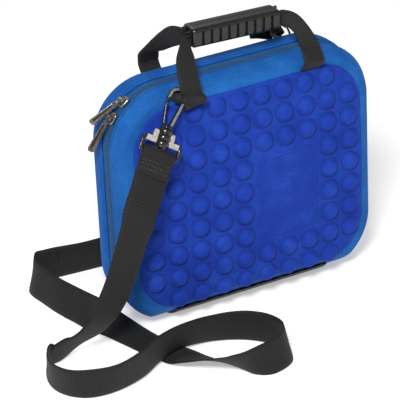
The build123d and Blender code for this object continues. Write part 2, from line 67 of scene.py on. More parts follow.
def square_to(v, tangents):
    """Unit vectors: v with its part along the tangents taken out."""
    return unit(v - tangents * np.sum(v * tangents, axis=-1, keepdims=True))


def path_tangents(path):
    return unit(np.gradient(path, axis=0))


def path_lengths(path):
    """Distance travelled along the path at each of its points."""
    steps = np.linalg.norm(np.diff(path, axis=0), axis=1)
    return np.concatenate([[0], np.cumsum(steps)])


def catmull(points, steps):
    """Catmull-Rom curve through the points, with the given steps per span."""
    points = np.asarray(points, float)
    last = len(points) - 1
    curve = []
    for i in range(last):
        p0, p1 = points[max(i - 1, 0)], points[i]
        p2, p3 = points[i + 1], points[min(i + 2, last)]
        for k in range(steps):
            t = k / steps
            curve.append(0.5 * (2 * p1 + (p2 - p0) * t
                                + (2 * p0 - 5 * p1 + 4 * p2 - p3) * t * t
                                + (3 * p1 - 3 * p2 + p3 - p0) * t ** 3))
    curve.append(points[-1])
    return np.array(curve)


def polar(degrees, radius=1.0):
    angle = math.radians(degrees)
    return radius * math.cos(angle), radius * math.sin(angle)


def place(points, origin, axes):
    """Points given along three local axes, moved to an origin."""
    return origin + np.asarray(points, float) @ np.array(axes)


def half_turn(points):
    """Half turn about the vertical axis through the middle of the frame."""
    points = np.asarray(points, float)
    return np.stack([-points[..., 0], -2 * ZIP_Y - points[..., 1], points[..., 2]], -1)


def softmin(a, b, softness):
    low = np.minimum(a, b)
    return low - softness * np.log(np.exp(-(a - low) / softness) + np.exp(-(b - low) / softness))


def smoothstep(t):
    t = np.clip(t, 0, 1)
    return t * t * (3 - 2 * t)


# ------------------------------------------------------------------ meshes
def new_mesh(name, verts, faces, material, uv=None, smooth=True):
    """Linked mesh object with outward normals; uv holds one pair per vertex."""
    verts = np.array(verts, float)
    verts[:, 1] += ZIP_Y
    mesh = bpy.data.meshes.new(name)
    mesh.from_pydata((verts / MM).tolist(), [], [tuple(int(i) for i in f) for f in faces])
    mesh.validate()
    mesh.update()
    if smooth:
        smooth_faces(mesh)
    if uv is not None:
        layer = mesh.uv_layers.new(name="UVMap")
        corners = np.zeros(len(mesh.loops), int)
        mesh.loops.foreach_get("vertex_index", corners)
        layer.data.foreach_set("uv", np.asarray(uv, float)[corners].ravel())
    ob = bpy.data.objects.new(name, mesh)
    bpy.context.scene.collection.objects.link(ob)
    mesh.materials.append(material)
    bm = bmesh.new()
    bm.from_mesh(mesh)
    bmesh.ops.recalc_face_normals(bm, faces=bm.faces)
    bm.to_mesh(mesh)
    bm.free()
    mesh.update()
    return ob


def smooth_faces(mesh):
    mesh.polygons.foreach_set("use_smooth", [True] * len(mesh.polygons))


def sharpen(ob, degrees):
    ob.data.set_sharp_from_angle(angle=math.radians(degrees))


def bevel(ob, width, angle=35, name="bevel"):
    modifier = ob.modifiers.new(name, "BEVEL")
    modifier.width = width / MM
    modifier.segments = 2
    modifier.limit_method = "ANGLE"
    modifier.angle_limit = math.radians(angle)


def fit(ob, body, slot, *replaced):
    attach(ob, body)
    if replaced:
        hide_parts(*replaced)


def grid_faces(rows, columns, close_rows=False, close_columns=False):
    faces = []
    for i in range(rows if close_rows else rows - 1):
        for j in range(columns if close_columns else columns - 1):
            this, after = i * columns, ((i + 1) % rows) * columns
            side = (j + 1) % columns
            faces.append((this + j, after + j, after + side, this + side))
    return faces


def tube_faces(rings, size, flip_ends=False):
    """Faces of a tube of closed rings, with a face over each end."""
    ends = [tuple(range(size)), tuple(reversed(range((rings - 1) * size, rings * size)))]
    if flip_ends:
        ends = [end[::-1] for end in ends]
    return grid_faces(rings, size, close_columns=True) + ends


def join(parts):
    verts, faces = [], []
    for part_verts, part_faces in parts:
        start = len(verts)
        verts += list(part_verts)
        faces += [tuple(i + start for i in f) for f in part_faces]
    return verts, faces


def ring_points(profile, segments):
    """Rings about the y axis; profile: (radius, y)."""
    angles = [2 * math.pi * k / segments for k in range(segments)]
    return [(r * math.cos(a), y, r * math.sin(a)) for r, y in profile for a in angles]


def lathe(profile, segments):
    return ring_points(profile, segments), tube_faces(len(profile), segments)


def rounded_box(width, height, radius, steps=4):
    """Outline of a rounded rectangle about the origin."""
    points = []
    right, top = width / 2 - radius, height / 2 - radius
    for cx, cy, start in ((right, top, 0), (-right, top, 90),
                          (-right, -top, 180), (right, -top, 270)):
        for k in range(steps + 1):
            dx, dy = polar(start + 90 * k / steps, radius)
            points.append((cx + dx, cy + dy))
    return points


def taper(path, stops, scales):
    """Section scale at each path point, interpolated between point numbers."""
    return np.interp(np.arange(len(path)), stops, scales)


def sweep(path, section, scale=None):
    """Closed section (across, along z) carried along a path."""
    path = np.asarray(path, float)
    section = np.array(section)
    tangents = path_tangents(path)
    up = square_to(np.array([0.0, 0.0, 1.0]), tangents)
    across = np.cross(tangents, up)
    offsets = across[:, None] * section[:, :1] + up[:, None] * section[:, 1:]
    if scale is not None:
        offsets = offsets * scale[:, None, None]
    verts = (path[:, None] + offsets).reshape(-1, 3)
    return verts, tube_faces(len(path), len(section))


def prism(outline, y0, y1):
    """Outline (x, z) extruded along y."""
    n = len(outline)
    verts = [(x, y0, z) for x, z in outline] + [(x, y1, z) for x, z in outline]
    faces = [tuple(range(n))[::-1], tuple(range(n, 2 * n))]
    faces += [(i, (i + 1) % n, n + (i + 1) % n, n + i) for i in range(n)]
    return verts, faces


def threads(name, starts, ends, radius, material):
    """Short rounded threads, from each start to its end, in one mesh."""
    segments = 6
    profile = [(0.0, 0.35), (0.12, 0.85), (0.5, 1.0), (0.88, 0.85), (1.0, 0.35)]  # along, radius
    verts, faces = [], []
    for a, b in zip(np.asarray(starts), np.asarray(ends)):
        axis = unit(b - a)
        helper = np.array([0, 0, 1.0]) if abs(axis[2]) < 0.9 else np.array([1.0, 0, 0])
        side = unit(np.cross(axis, helper))
        other = np.cross(axis, side)
        length = np.linalg.norm(b - a)
        first = len(verts)
        for along, size in profile:
            for q in range(segments):
                turn = 2 * math.pi * q / segments
                spoke = side * math.cos(turn) + other * math.sin(turn)
                verts.append(a + axis * length * along + spoke * radius * size)
        for i in range(len(profile) - 1):
            low = first + i * segments
            high = low + segments
            for q in range(segments):
                after = (q + 1) % segments
                faces.append((low + q, low + after, high + after, high + q))
        last = first + (len(profile) - 1) * segments
        faces.append(tuple(first + q for q in reversed(range(segments))))
        faces.append(tuple(last + q for q in range(segments)))
    return new_mesh(name, verts, faces, material)


# ------------------------------------------------------------------ shader building
def srgb(color):
    """Linear RGBA from 0-255 sRGB."""
    linear = []
    for c in color:
        c /= 255.0
        linear.append(c / 12.92 if c <= 0.04045 else ((c + 0.055) / 1.055) ** 2.4)
    return (*linear, 1.0)


def grey(value):
    return (value, value, value, 1)


class Shader:
    """A material with a Principled shader, texture coordinates and node helpers."""

    def __init__(self, name):
        self.material = bpy.data.materials.new(name)
        self.material.use_nodes = True
        self.tree = self.material.node_tree
        for node in list(self.tree.nodes):
            self.tree.nodes.remove(node)
        output = self.node("OutputMaterial")
        self.surface = self.node("BsdfPrincipled")
        self.link(self.surface.outputs[0], output.inputs[0])
        coordinates = self.node("TexCoord").outputs
        self.position = coordinates["Object"]
        self.uv = coordinates["UV"]

    def node(self, kind):
        return self.tree.nodes.new("ShaderNode" + kind)

    def link(self, source, target):
        self.tree.links.new(source, target)

    def set(self, **values):
        """Surface inputs by name, with underscores for spaces."""
        for name, value in values.items():
            self.surface.inputs[name.replace("_", " ")].default_value = value

    def drive(self, name, source):
        self.link(source, self.surface.inputs[name])

    def ramp(self, factor, stops):
        node = self.node("ValToRGB")
        elements = node.color_ramp.elements
        while len(elements) > 1:
            elements.remove(elements[-1])
        elements[0].position, elements[0].color = stops[0]
        for position, color in stops[1:]:
            elements.new(position).color = color
        self.link(factor, node.inputs[0])
        return node.outputs[0]

    def noise(self, scale, detail=2.0, roughness=0.5):
        node = self.node("TexNoise")
        node.inputs["Scale"].default_value = scale
        node.inputs["Detail"].default_value = detail
        node.inputs["Roughness"].default_value = roughness
        self.link(self.position, node.inputs["Vector"])
        return node.outputs["Fac"]

    def math(self, operation, *values):
        node = self.node("Math")
        node.operation = operation
        for i, value in enumerate(values):
            if isinstance(value, (int, float)):
                node.inputs[i].default_value = value
            else:
                self.link(value, node.inputs[i])
        return node.outputs[0]

    def add(self, a, b):
        return self.math("ADD", a, b)

    def times(self, a, b):
        return self.math("MULTIPLY", a, b)

    def bump(self, height, strength, distance):
        node = self.node("Bump")
        node.inputs["Strength"].default_value = strength
        node.inputs["Distance"].default_value = distance
        self.link(height, node.inputs["Height"])
        self.drive("Normal", node.outputs[0])


def fabric(name, dark, base, light, grain, sheen, rough=0.85, weave=True, painted_hollow_shade=0.0):
    """Mottled cloth with a soft sheen; its last argument is how much painted shade darkens the
    hollows.
    """
    dark, base, light = srgb(dark), srgb(base), srgb(light)
    shader = Shader(name)
    fine = shader.noise(grain, detail=3.0, roughness=0.6)
    broad = shader.noise(45.0, detail=3.0)
    finest = shader.noise(grain * 2.3, detail=1.0)

    mottle = shader.add(shader.times(fine, 0.62), shader.times(broad, 0.38))
    color = shader.ramp(mottle, [(0.33, dark), (0.5, base), (0.68, light)])
    if painted_hollow_shade:
        # painted shade: the colour is darkened where the surface is hollow (low pointiness)
        geometry = shader.node("NewGeometry")
        shade = shader.ramp(geometry.outputs["Pointiness"],
                            [(0.455, grey(1 - painted_hollow_shade)), (0.5, grey(1)), (0.56, grey(1))])
        product = shader.node("VectorMath")
        product.operation = "MULTIPLY"
        shader.link(color, product.inputs[0])
        shader.link(shade, product.inputs[1])
        color = product.outputs[0]
    shader.drive("Base Color", color)
    shader.drive("Roughness", shader.ramp(fine, [(0.3, grey(rough - 0.12)),
                                                 (0.7, grey(rough + 0.1))]))
    shader.set(Roughness=rough, Sheen_Weight=sheen, Sheen_Roughness=0.45,
               Sheen_Tint=(light[0] * 1.4, light[1] * 1.4, light[2] * 1.3, 1),
               Specular_IOR_Level=0.25)

    height = shader.add(shader.times(fine, 0.6), shader.times(finest, 0.4))
    if weave:
        wave = shader.node("TexWave")
        wave.bands_direction = "DIAGONAL"
        wave.inputs["Scale"].default_value = 420.0
        wave.inputs["Distortion"].default_value = 2.0
        shader.link(shader.position, wave.inputs["Vector"])
        height = shader.add(height, shader.times(wave.outputs["Fac"], 0.25))
    shader.bump(height, strength=0.5, distance=0.00035)
    return shader.material


def webbing(name, dark, light, pitch, skew, bump=0.9):
    """Woven strap; UV is in mm, u along and v across. Ribs sit at the pitch, slanted by skew."""
    thread_pitch = 1.15
    shader = Shader(name)
    split = shader.node("SeparateXYZ")
    shader.link(shader.uv, split.inputs[0])
    along, across = split.outputs[0], split.outputs[1]
    slanted = shader.add(along, shader.times(across, skew))
    rib_wave = shader.math("SINE", shader.times(slanted, 2 * math.pi / pitch))
    thread_wave = shader.math("SINE", shader.times(across, 2 * math.pi / thread_pitch))
    ribs = shader.add(shader.times(rib_wave, 0.36),
                      shader.times(shader.times(rib_wave, thread_wave), 0.14))
    ribs = shader.add(ribs, 0.5)
    fine = shader.noise(1400.0)
    broad = shader.noise(60.0)
    shade = shader.add(shader.times(ribs, 0.62), shader.times(fine, 0.24))
    shade = shader.add(shade, shader.times(broad, 0.14))
    shader.drive("Base Color", shader.ramp(shade, [(0.22, srgb(dark)), (0.82, srgb(light))]))
    shader.set(Roughness=0.72, Sheen_Weight=0.03, Sheen_Roughness=0.5, Specular_IOR_Level=0.35)
    shader.bump(shader.add(ribs, shader.times(fine, 0.25)), strength=bump, distance=0.0004)
    return shader.material


def plastic(name, dark, light, rough, scale, spec=0.5, bump=0.15, metal=0.0, coat=0.0):
    """Plastic, rubber or metal with noise in its colour, roughness and surface."""
    shader = Shader(name)
    patches = shader.noise(scale, detail=4.0, roughness=0.6)
    speckle = shader.noise(scale * 5)
    shader.drive("Base Color", shader.ramp(patches, [(0.35, srgb(dark)), (0.7, srgb(light))]))
    shader.drive("Roughness", shader.ramp(speckle, [(0.3, grey(rough - 0.08)),
                                                    (0.7, grey(rough + 0.12))]))
    shader.set(Metallic=metal, Specular_IOR_Level=spec, Coat_Weight=coat)
    shader.bump(speckle, strength=bump, distance=0.0002)
    return shader.material


# painted shade darkens the hollows at the feet of the domes
PANEL_FABRIC = fabric("panel_fabric", dark=(2, 34, 122), base=(7, 46, 142), light=(28, 68, 164),
                      grain=1000.0, sheen=0.26, painted_hollow_shade=0.35)
FRONT_FABRIC = fabric("rim_fabric", dark=(3, 64, 130), base=(8, 78, 148), light=(30, 100, 170),
                      grain=900.0, sheen=0.32)
REAR_FABRIC = fabric("rear_fabric", dark=(3, 62, 132), base=(7, 76, 150), light=(28, 98, 170),
                     grain=900.0, sheen=0.32)
ZIP_TAPE = fabric("zip_tape", dark=(6, 62, 112), base=(10, 78, 132), light=(22, 96, 152),
                  grain=1500.0, sheen=0.15, rough=0.8)
ZIP_COIL = plastic("zip_coil", dark=(4, 48, 86), light=(10, 70, 116), rough=0.62, scale=500)
LINING = fabric("lining", dark=(14, 18, 28), base=(24, 30, 44), light=(40, 48, 64),
                grain=700.0, sheen=0.1, rough=0.7)
BLUE_THREAD = fabric("stitch_thread", dark=(8, 58, 130), base=(14, 74, 150),
                     light=(30, 96, 172), grain=2600.0, sheen=0.2, weave=False)
STRAP_WEBBING = webbing("webbing", dark=(1, 1, 1), light=(17, 17, 16),
                        pitch=2.5, skew=0.10, bump=1.0)
# painted highlight: light grey for the spine of the black claw
HOOK_SPINE_HIGHLIGHT = plastic("hook_spine_painted_highlight", dark=(84, 82, 78), light=(136, 132, 125),
                    rough=0.34, scale=700, bump=0.1)
HANDLE_WEBBING = webbing("handle_webbing", dark=(2, 2, 2), light=(26, 25, 24),
                         pitch=2.6, skew=0.62)
BLACK_THREAD = fabric("black_thread", dark=(30, 30, 29), base=(54, 53, 51), light=(84, 82, 78),
                      grain=2600.0, sheen=0.2, weave=False)
BASE_RUBBER = plastic("base_rubber", dark=(12, 12, 14), light=(30, 30, 33),
                      rough=0.62, scale=400, spec=0.3, bump=0.5)
GRIP_RUBBER = plastic("grip_rubber", dark=(12, 12, 12), light=(26, 25, 24),
                      rough=0.26, scale=300, bump=0.25)
HOOK_PLASTIC = plastic("hook_plastic", dark=(9, 9, 9), light=(20, 20, 19),
                       rough=0.22, scale=200, bump=0.0, coat=0.25)
# painted highlight: light grey for the shoulders of the black hook
HOOK_SHOULDER_HIGHLIGHT = plastic("hook_shoulder_painted_highlight", dark=(128, 125, 120), light=(186, 182, 175),
                    rough=0.34, scale=700, spec=0.6, bump=0.2)
SLIDER_METAL = plastic("slider_metal", dark=(104, 99, 93), light=(168, 161, 150),
                       rough=0.28, scale=500, spec=0.6, bump=0.12, metal=0.9)
PULL_INLAY = plastic("pull_inlay", dark=(10, 10, 11), light=(22, 22, 23),
                     rough=0.18, scale=300, spec=0.7, bump=0.05, coat=0.5)

# ------------------------------------------------------------------ case dimensions
CORNER_RADIUS = 55.0
CORNER_X = 72.5            # centres of the corner arcs, either side of x = 0
CORNER_LOW_Z = 56.6
CORNER_HIGH_Z = 171.6
CENTRE_Z = 115.0           # height of the crown of the faces
CROWN_DIVISOR = 2500.0     # squared distance from the crown over this is the fall of the face
REAR_STEP = -2 * ZIP_Y     # the rear face is this much further from the zip
ROLL_Y = 12.5              # axis of the roll under both halves
ROLL_GAP = 0.7             # underside of the roll above z = 0
FLAT_Z = 2.4               # flat bottom of the shells
FACE_INSET = 30.0          # inset of the rows that are pulled in to the centre of a face


@dataclass(frozen=True)
class Half:
    name: str
    side: int              # sign of y
    depth: float           # shell face from the zip plane
    fillet: float          # round between wall and face
    crest: float           # dome panel from the zip plane
    first_angle: float     # degrees round the fillet where the rows after the hem start

    @property
    def body(self):
        return f"{self.name}_half"

    @property
    def roll_radius(self):
        return self.crest - self.side * ROLL_Y

    @property
    def roll_z(self):
        return self.roll_radius + ROLL_GAP


FRONT = Half("front", -1, depth=31.8, fillet=24.0, crest=34.0, first_angle=14)
REAR = Half("rear", 1, depth=FRONT.depth + REAR_STEP, fillet=29.0,
            crest=FRONT.crest + REAR_STEP, first_angle=4)
HALVES = (FRONT, REAR)


def case_outline(arc_steps=26, flat_steps=42, wall_steps=34, open_bottom=False):
    """Core points (x, z) and outward normals round the case.

    They run clockwise seen from the front, from the bottom of the lower left corner.
    """
    core, normals = [], []

    def arc(centre, start):
        for k in range(arc_steps):
            core.append(centre)
            normals.append(polar(start - 90 * k / arc_steps))

    def line(p, q, normal, steps):
        for k in range(steps):
            t = k / steps
            core.append((p[0] + (q[0] - p[0]) * t, p[1] + (q[1] - p[1]) * t))
            normals.append(normal)

    low_left, high_left = (-CORNER_X, CORNER_LOW_Z), (-CORNER_X, CORNER_HIGH_Z)
    low_right, high_right = (CORNER_X, CORNER_LOW_Z), (CORNER_X, CORNER_HIGH_Z)
    arc(low_left, 270)
    line(low_left, high_left, (-1, 0), wall_steps)
    arc(high_left, 180)
    line(high_left, high_right, (0, 1), flat_steps)
    arc(high_right, 90)
    line(high_right, low_right, (1, 0), wall_steps)
    arc(low_right, 0)
    if open_bottom:
        core.append(low_right)
        normals.append((0, -1))
    else:
        line(low_right, low_left, (0, -1), flat_steps)
    return np.array(core, float), np.array(normals, float)


def crown(x, z, crest):
    return crest - (x * x + (z - CENTRE_Z) ** 2) / CROWN_DIVISOR


def hold_to_roll(half, points, skin):
    """Keeps points inside the lower roll and above the flat bottom, less the skin."""
    y, z = points[..., 1], points[..., 2]
    radius = half.roll_radius - skin
    dy, dz = y - ROLL_Y, z - half.roll_z
    reach = np.sqrt(dy * dy + dz * dz)
    outside = (dz < 0) & (half.side * dy > 0) & (reach > radius)
    scale = np.where(outside, radius / np.maximum(reach, 1e-9), 1.0)
    held = points.copy()
    held[..., 1] = ROLL_Y + dy * scale
    held[..., 2] = np.maximum(half.roll_z + dz * scale, FLAT_Z + skin)
    return held


def shell_points(half, outline, inset, depth=None, skin=0.0, pull=1.0):
    """One row round the case, inset from the outline and pulled towards the centre.

    depth is measured from the zip plane; None follows the fillet and the crowned face.
    skin is how far the row lies inside the outer surface.
    """
    core, normals = outline
    centre = np.array([0.0, CENTRE_Z])
    x, z = (centre + (core + normals * (CORNER_RADIUS - inset) - centre) * pull).T
    if depth is None:
        face, fillet = half.depth - skin, half.fillet - skin
        run = min(max(half.fillet - inset, 0.0), fillet)
        wall = face - fillet + math.sqrt(max(fillet * fillet - run * run, 0.0))
        y = softmin(wall, crown(x, z, face), 0.9)
    else:
        y = np.full(len(x), depth)
    return hold_to_roll(half, np.stack([x, half.side * y, z], -1), skin)


# ------------------------------------------------------------------ shells and linings
def inner_rows(half, outline, skin, pulls, angles):
    """Rows of an inner skin, from the face centre round the fillet to the lip."""
    rows = [shell_points(half, outline, FACE_INSET, skin=skin, pull=pull) for pull in pulls]
    for angle in angles:
        run, _ = polar(angle, half.fillet - skin)
        rows.append(shell_points(half, outline, half.fillet - run, skin=skin))
    return rows


def closed_skin(name, rows, material):
    """Rows round the case, with a fan of triangles over the first and the last row."""
    points = np.stack(rows, 1)
    count, size = points.shape[:2]
    verts = points.reshape(-1, 3).tolist()
    faces = grid_faces(count, size, close_rows=True)
    for j, flip in ((0, False), (size - 1, True)):
        centre = len(verts)
        verts.append(points[:, j].mean(0).tolist())
        for i in range(count):
            a, b = i * size + j, ((i + 1) % count) * size + j
            faces.append((a, b, centre) if flip else (b, a, centre))
    return new_mesh(name, verts, faces, material)


# rolled hem of a shell, inside to outside: inset, depth, skin
HEM = [
    (3.8, 13.4, 3.0), (2.95, 13.0, 2.6), (2.9, 10.4, 2.2), (2.75, 9.2, 2.2), (2.35, 8.3, 1.8),
    (1.75, 7.75, 1.4), (1.1, 7.7, 0.9), (0.55, 8.1, 0.5), (0.2, 8.8, 0.2), (0.28, 9.6, 0.2),
    (0.45, 10.1, 0.3), (0.32, 10.7, 0.2), (0.05, 11.6, 0.0), (0.0, 13.0, 0.0)]
# edge of a lining, outside to inside: inset, depth, skin
LINING_EDGE = [(4.25, 6.0, 4.2), (4.3, 3.4, 4.2), (4.7, 2.9, 4.6), (5.1, 3.4, 5.0),
               (5.15, 6.0, 5.1)]


def case_shell(half, material):
    outline = case_outline()
    rows = inner_rows(half, outline, skin=3.9, pulls=(0.04, 0.25, 0.5, 0.75, 0.9),
                      angles=(88, 75, 60, 45, 30, 15, 0))
    rows += [shell_points(half, outline, *row) for row in HEM]
    for angle in np.arange(half.first_angle, 90, 4.0):
        run, _ = polar(angle, half.fillet)
        rows.append(shell_points(half, outline, half.fillet - run))
    rows += [shell_points(half, outline, FACE_INSET, pull=pull)
             for pull in (0.97, 0.9, 0.75, 0.5, 0.25, 0.04)]
    ob = closed_skin(f"{half.name}_case_shell", rows, material)
    fit(ob, half.body, "rim_fabric", f"{half.name}_shell")


def case_lining(half):
    outline = case_outline(arc_steps=20, flat_steps=30, wall_steps=24)
    outer, inner = [
        inner_rows(half, outline, skin, pulls=(0.04, 0.3, 0.6, 0.85),
                   angles=(88, 70, 52, 35, 18, 0))
        for skin in (4.2, 5.15)]
    edge = [shell_points(half, outline, *row) for row in LINING_EDGE]
    ob = closed_skin(f"{half.name}_case_lining", outer + edge + inner[::-1], LINING)
    fit(ob, half.body, "lining", f"{half.name}_lining")


# ------------------------------------------------------------------ dome panels
PANEL_HALF_WIDTH = 113.5
PANEL_HALF_HEIGHT = 98.0
PANEL_CORNER = 43.0
PANEL_Z = 115.6            # centre height of the panel outline
PANEL_THICKNESS = 2.9
PANEL_ROLL_OFFSET = 1.0    # the panel lies this far outside the lower roll
EDGE_ROUND = 3.2           # width of the rounded panel edge
EDGE_DROP = 2.7
DOME_PITCH = 22.0
DOME_HEIGHT = 5.3
DOME_FOOT_RADIUS = 8.9
DOME_BALL_RADIUS = (DOME_FOOT_RADIUS ** 2 + DOME_HEIGHT ** 2) / (2 * DOME_HEIGHT)
DOME_BLEND = 0.16          # softness of the foot of a dome
DOME_REACH = 11.4          # radius of the patch that one dome shapes


def rounded_box_distance(x, z, half_width, half_height, radius, x_mid, z_mid):
    """Signed distance to a rounded rectangle, negative inside."""
    qx = np.abs(x - x_mid) - (half_width - radius)
    qz = np.abs(z - z_mid) - (half_height - radius)
    outside = np.hypot(np.maximum(qx, 0), np.maximum(qz, 0))
    return outside + np.minimum(np.maximum(qx, qz), 0) - radius


def panel_grid():
    """x and z of the panel points: rows from top to bottom, each as wide as the outline."""
    corner_steps, wall_steps, columns = 64, 112, 241
    straight = PANEL_HALF_HEIGHT - PANEL_CORNER
    top = straight + PANEL_CORNER * np.sin(
        math.pi / 2 * (1 - np.arange(corner_steps) / corner_steps))
    middle = straight * (1 - 2 * np.arange(wall_steps + 1) / wall_steps)
    heights = np.concatenate([top, middle, -top[::-1]])
    into_corner = np.maximum(np.abs(heights) - straight, 0)
    half_widths = PANEL_HALF_WIDTH - PANEL_CORNER + np.sqrt(
        np.maximum(PANEL_CORNER ** 2 - into_corner ** 2, 0))
    x = half_widths[:, None] * np.linspace(-1, 1, columns)
    z = (PANEL_Z + heights)[:, None] * np.ones(columns)
    return x, z


def panel_surface(half, x, z):
    """The plain panel: the crowned face eased into the lower roll."""
    dy = half.side * crown(x, z, half.crest) - ROLL_Y
    dz = z - half.roll_z
    reach = np.hypot(dy, dz)
    target = softmin(reach, half.roll_radius + PANEL_ROLL_OFFSET, 0.9)
    scale = 1 + (target / np.maximum(reach, 1e-9) - 1) * smoothstep(-dz / 10.0)
    return np.stack([x, ROLL_Y + dy * scale, half.roll_z + dz * scale], -1)


def panel_relief(x, z, label):
    """Height over the plain panel: rounded edge, domes, label border, uneven foam."""
    inside = -rounded_box_distance(x, z, PANEL_HALF_WIDTH, PANEL_HALF_HEIGHT, PANEL_CORNER,
                                   0, PANEL_Z)
    edge = 1 - np.clip(inside / EDGE_ROUND, 0, 1)
    relief = -EDGE_DROP * (1 - np.sqrt(np.clip(1 - edge ** 2, 0, 1)))

    domes = np.zeros_like(relief)
    for row in range(1, 10):
        for column in range(10):
            if row in (1, 9) and column in (0, 9):
                continue
            if label and 4 <= row <= 7 and 5 <= column <= 7:
                continue
            away = np.hypot(x - (column - 4.5) * DOME_PITCH,
                            z - (CENTRE_Z + (5 - row) * DOME_PITCH))
            ball = np.sqrt(np.maximum(DOME_BALL_RADIUS ** 2 - away * away, 0))
            cap = np.where(away < DOME_BALL_RADIUS,
                           ball - (DOME_BALL_RADIUS - DOME_HEIGHT), -9)
            cap = DOME_BLEND * np.log(np.exp(np.clip(cap / DOME_BLEND, -30, 30)) + 1.0)
            moat = -0.20 * np.exp(-((away - 9.6) / 0.7) ** 2)
            domes = np.where(away < DOME_REACH, cap + moat, domes)
    relief = relief + domes

    if label:
        # raised border in place of the missing domes
        border = rounded_box_distance(x, z, 29, 39, 8, 33, 104)
        relief += 0.8 * np.exp(-((border + 0.8) / 0.75) ** 4)
    return relief + 0.10 * np.sin(x / 17.0 + 0.4) * np.sin(z / 21.0 + 1.1)


def dome_panel(half, label):
    x, z = panel_grid()
    surface = panel_surface(half, x, z)
    step = 0.4
    along_x = panel_surface(half, x + step, z) - panel_surface(half, x - step, z)
    along_z = panel_surface(half, x, z + step) - panel_surface(half, x, z - step)
    normals = unit(np.cross(along_x, along_z))
    normals *= np.where(normals[..., 1] * half.side < 0, -1, 1)[..., None]
    outer = surface + normals * panel_relief(x, z, label)[..., None]
    back = surface - normals * PANEL_THICKNESS

    rows, columns = x.shape
    edge = [(0, j) for j in range(columns)]
    edge += [(i, columns - 1) for i in range(1, rows)]
    edge += [(rows - 1, j) for j in range(columns - 2, -1, -1)]
    edge += [(i, 0) for i in range(rows - 2, 0, -1)]
    verts = outer.reshape(-1, 3).tolist()
    start = len(verts)
    verts += [back[i, j].tolist() for i, j in edge]
    centre = len(verts)
    verts.append(back[rows // 2, columns // 2].tolist())

    faces = grid_faces(rows, columns)
    count = len(edge)
    for k, (i, j) in enumerate(edge):
        after = (k + 1) % count
        next_i, next_j = edge[after]
        faces.append((i * columns + j, start + k, start + after, next_i * columns + next_j))
    for k in range(count):
        faces.append((start + k, centre, start + (k + 1) % count))
    ob = new_mesh(f"{half.name}_dome_panel", verts, faces, PANEL_FABRIC)
    fit(ob, half.body, "panel_fabric", f"{half.name}_panel")


# ------------------------------------------------------------------ zip and stitching
# closed sections along the zip: inset, depth
TAPE_SECTION = [(3.0, 12.6), (2.75, 9.6), (2.3, 7.6), (1.9, 5.4), (1.95, 3.4), (2.1, 2.9),
                (2.7, 2.9), (2.8, 5.4), (3.2, 8.0), (3.8, 12.6)]
TEETH_SECTION = [(2.3, 0.15), (1.5, 0.2), (1.15, 0.8), (1.15, 1.7), (1.6, 2.5), (2.3, 2.65),
                 (3.2, 2.5), (3.3, 0.4)]
TOOTH_PITCH = 1.7
POINTS_PER_TOOTH = 5


def zip_strip(name, half, section, material, teeth=False):
    """Closed section carried along the zip, which is open along the bottom."""
    core, normals = case_outline(open_bottom=True)
    if teeth:
        travel = path_lengths(core + normals * CORNER_RADIUS)
        count = int(travel[-1] / TOOTH_PITCH * POINTS_PER_TOOTH)
        at = np.linspace(0, travel[-1], count)
        core = np.stack([np.interp(at, travel, core[:, k]) for k in (0, 1)], -1)
        normals = unit(np.stack([np.interp(at, travel, normals[:, k]) for k in (0, 1)], -1))
        # the two rows of teeth are half a pitch apart
        phase = 0 if half is FRONT else np.pi
        swell = 0.5 + 0.5 * np.cos(2 * np.pi * at / TOOTH_PITCH + phase)
        mid_inset, mid_depth = np.array(section).mean(0)
        middle = shell_points(half, (core, normals), mid_inset, mid_depth, skin=mid_inset)
    rows = []
    for inset, depth in section:
        row = shell_points(half, (core, normals), inset, depth, skin=inset)
        if teeth:
            row = middle + (row - middle) * (0.72 + 0.28 * swell)[:, None]
        rows.append(row)
    points = np.stack(rows, 1)
    count, size = points.shape[:2]
    uv = [(s, j * 1.5) for s in path_lengths(points[:, 0]) for j in range(size)]
    return new_mesh(name, points.reshape(-1, 3), tube_faces(count, size), material, uv=uv)


def stitch_line(name, half, inset, depth, pitch, length, radius):
    path = shell_points(half, case_outline(open_bottom=True), inset, depth)
    travel = path_lengths(path)
    margin = 4.0

    def at(s):
        return [np.interp(s, travel, path[:, k]) for k in range(3)]

    starts, ends = [], []
    s = margin
    while s + length < travel[-1] - margin:
        starts.append(at(s))
        ends.append(at(s + length))
        s += pitch
    return threads(name, starts, ends, radius, BLUE_THREAD)


def zip_side(half):
    tag = half.name
    ob = zip_strip(f"{tag}_zip_tape_cloth", half, TAPE_SECTION, ZIP_TAPE)
    fit(ob, half.body, "zip_tape", f"{tag}_zip_tape")
    ob = zip_strip(f"{tag}_zip_teeth", half, TEETH_SECTION, ZIP_COIL, teeth=True)
    fit(ob, half.body, "zip_coil", f"{tag}_zip_coil")
    ob = stitch_line(f"{tag}_hem_stitching", half, inset=0.12, depth=10.2,
                     pitch=3.6, length=2.7, radius=0.32)
    fit(ob, half.body, "rim_fabric")
    ob = stitch_line(f"{tag}_tape_stitching", half, inset=1.95, depth=6.2,
                     pitch=3.0, length=2.3, radius=0.22)
    fit(ob, half.body, "zip_tape")


case_shell(FRONT, FRONT_FABRIC)
case_shell(REAR, REAR_FABRIC)
for half in HALVES:
    case_lining(half)
for half in HALVES:
    dome_panel(half, label=half is FRONT)
for half in HALVES:
    zip_side(half)

# ------------------------------------------------------------------ base strip
BASE_HALF_LENGTH = 77
BASE_TOP_Z = 14.6          # the strip climbs the rolls to about this height
BASE_LOW_ANGLE = 74        # degrees below level where the rolls give way to the flat
BASE_OUTER, BASE_INNER = 2.35, 0.15     # offsets of its faces from the shells


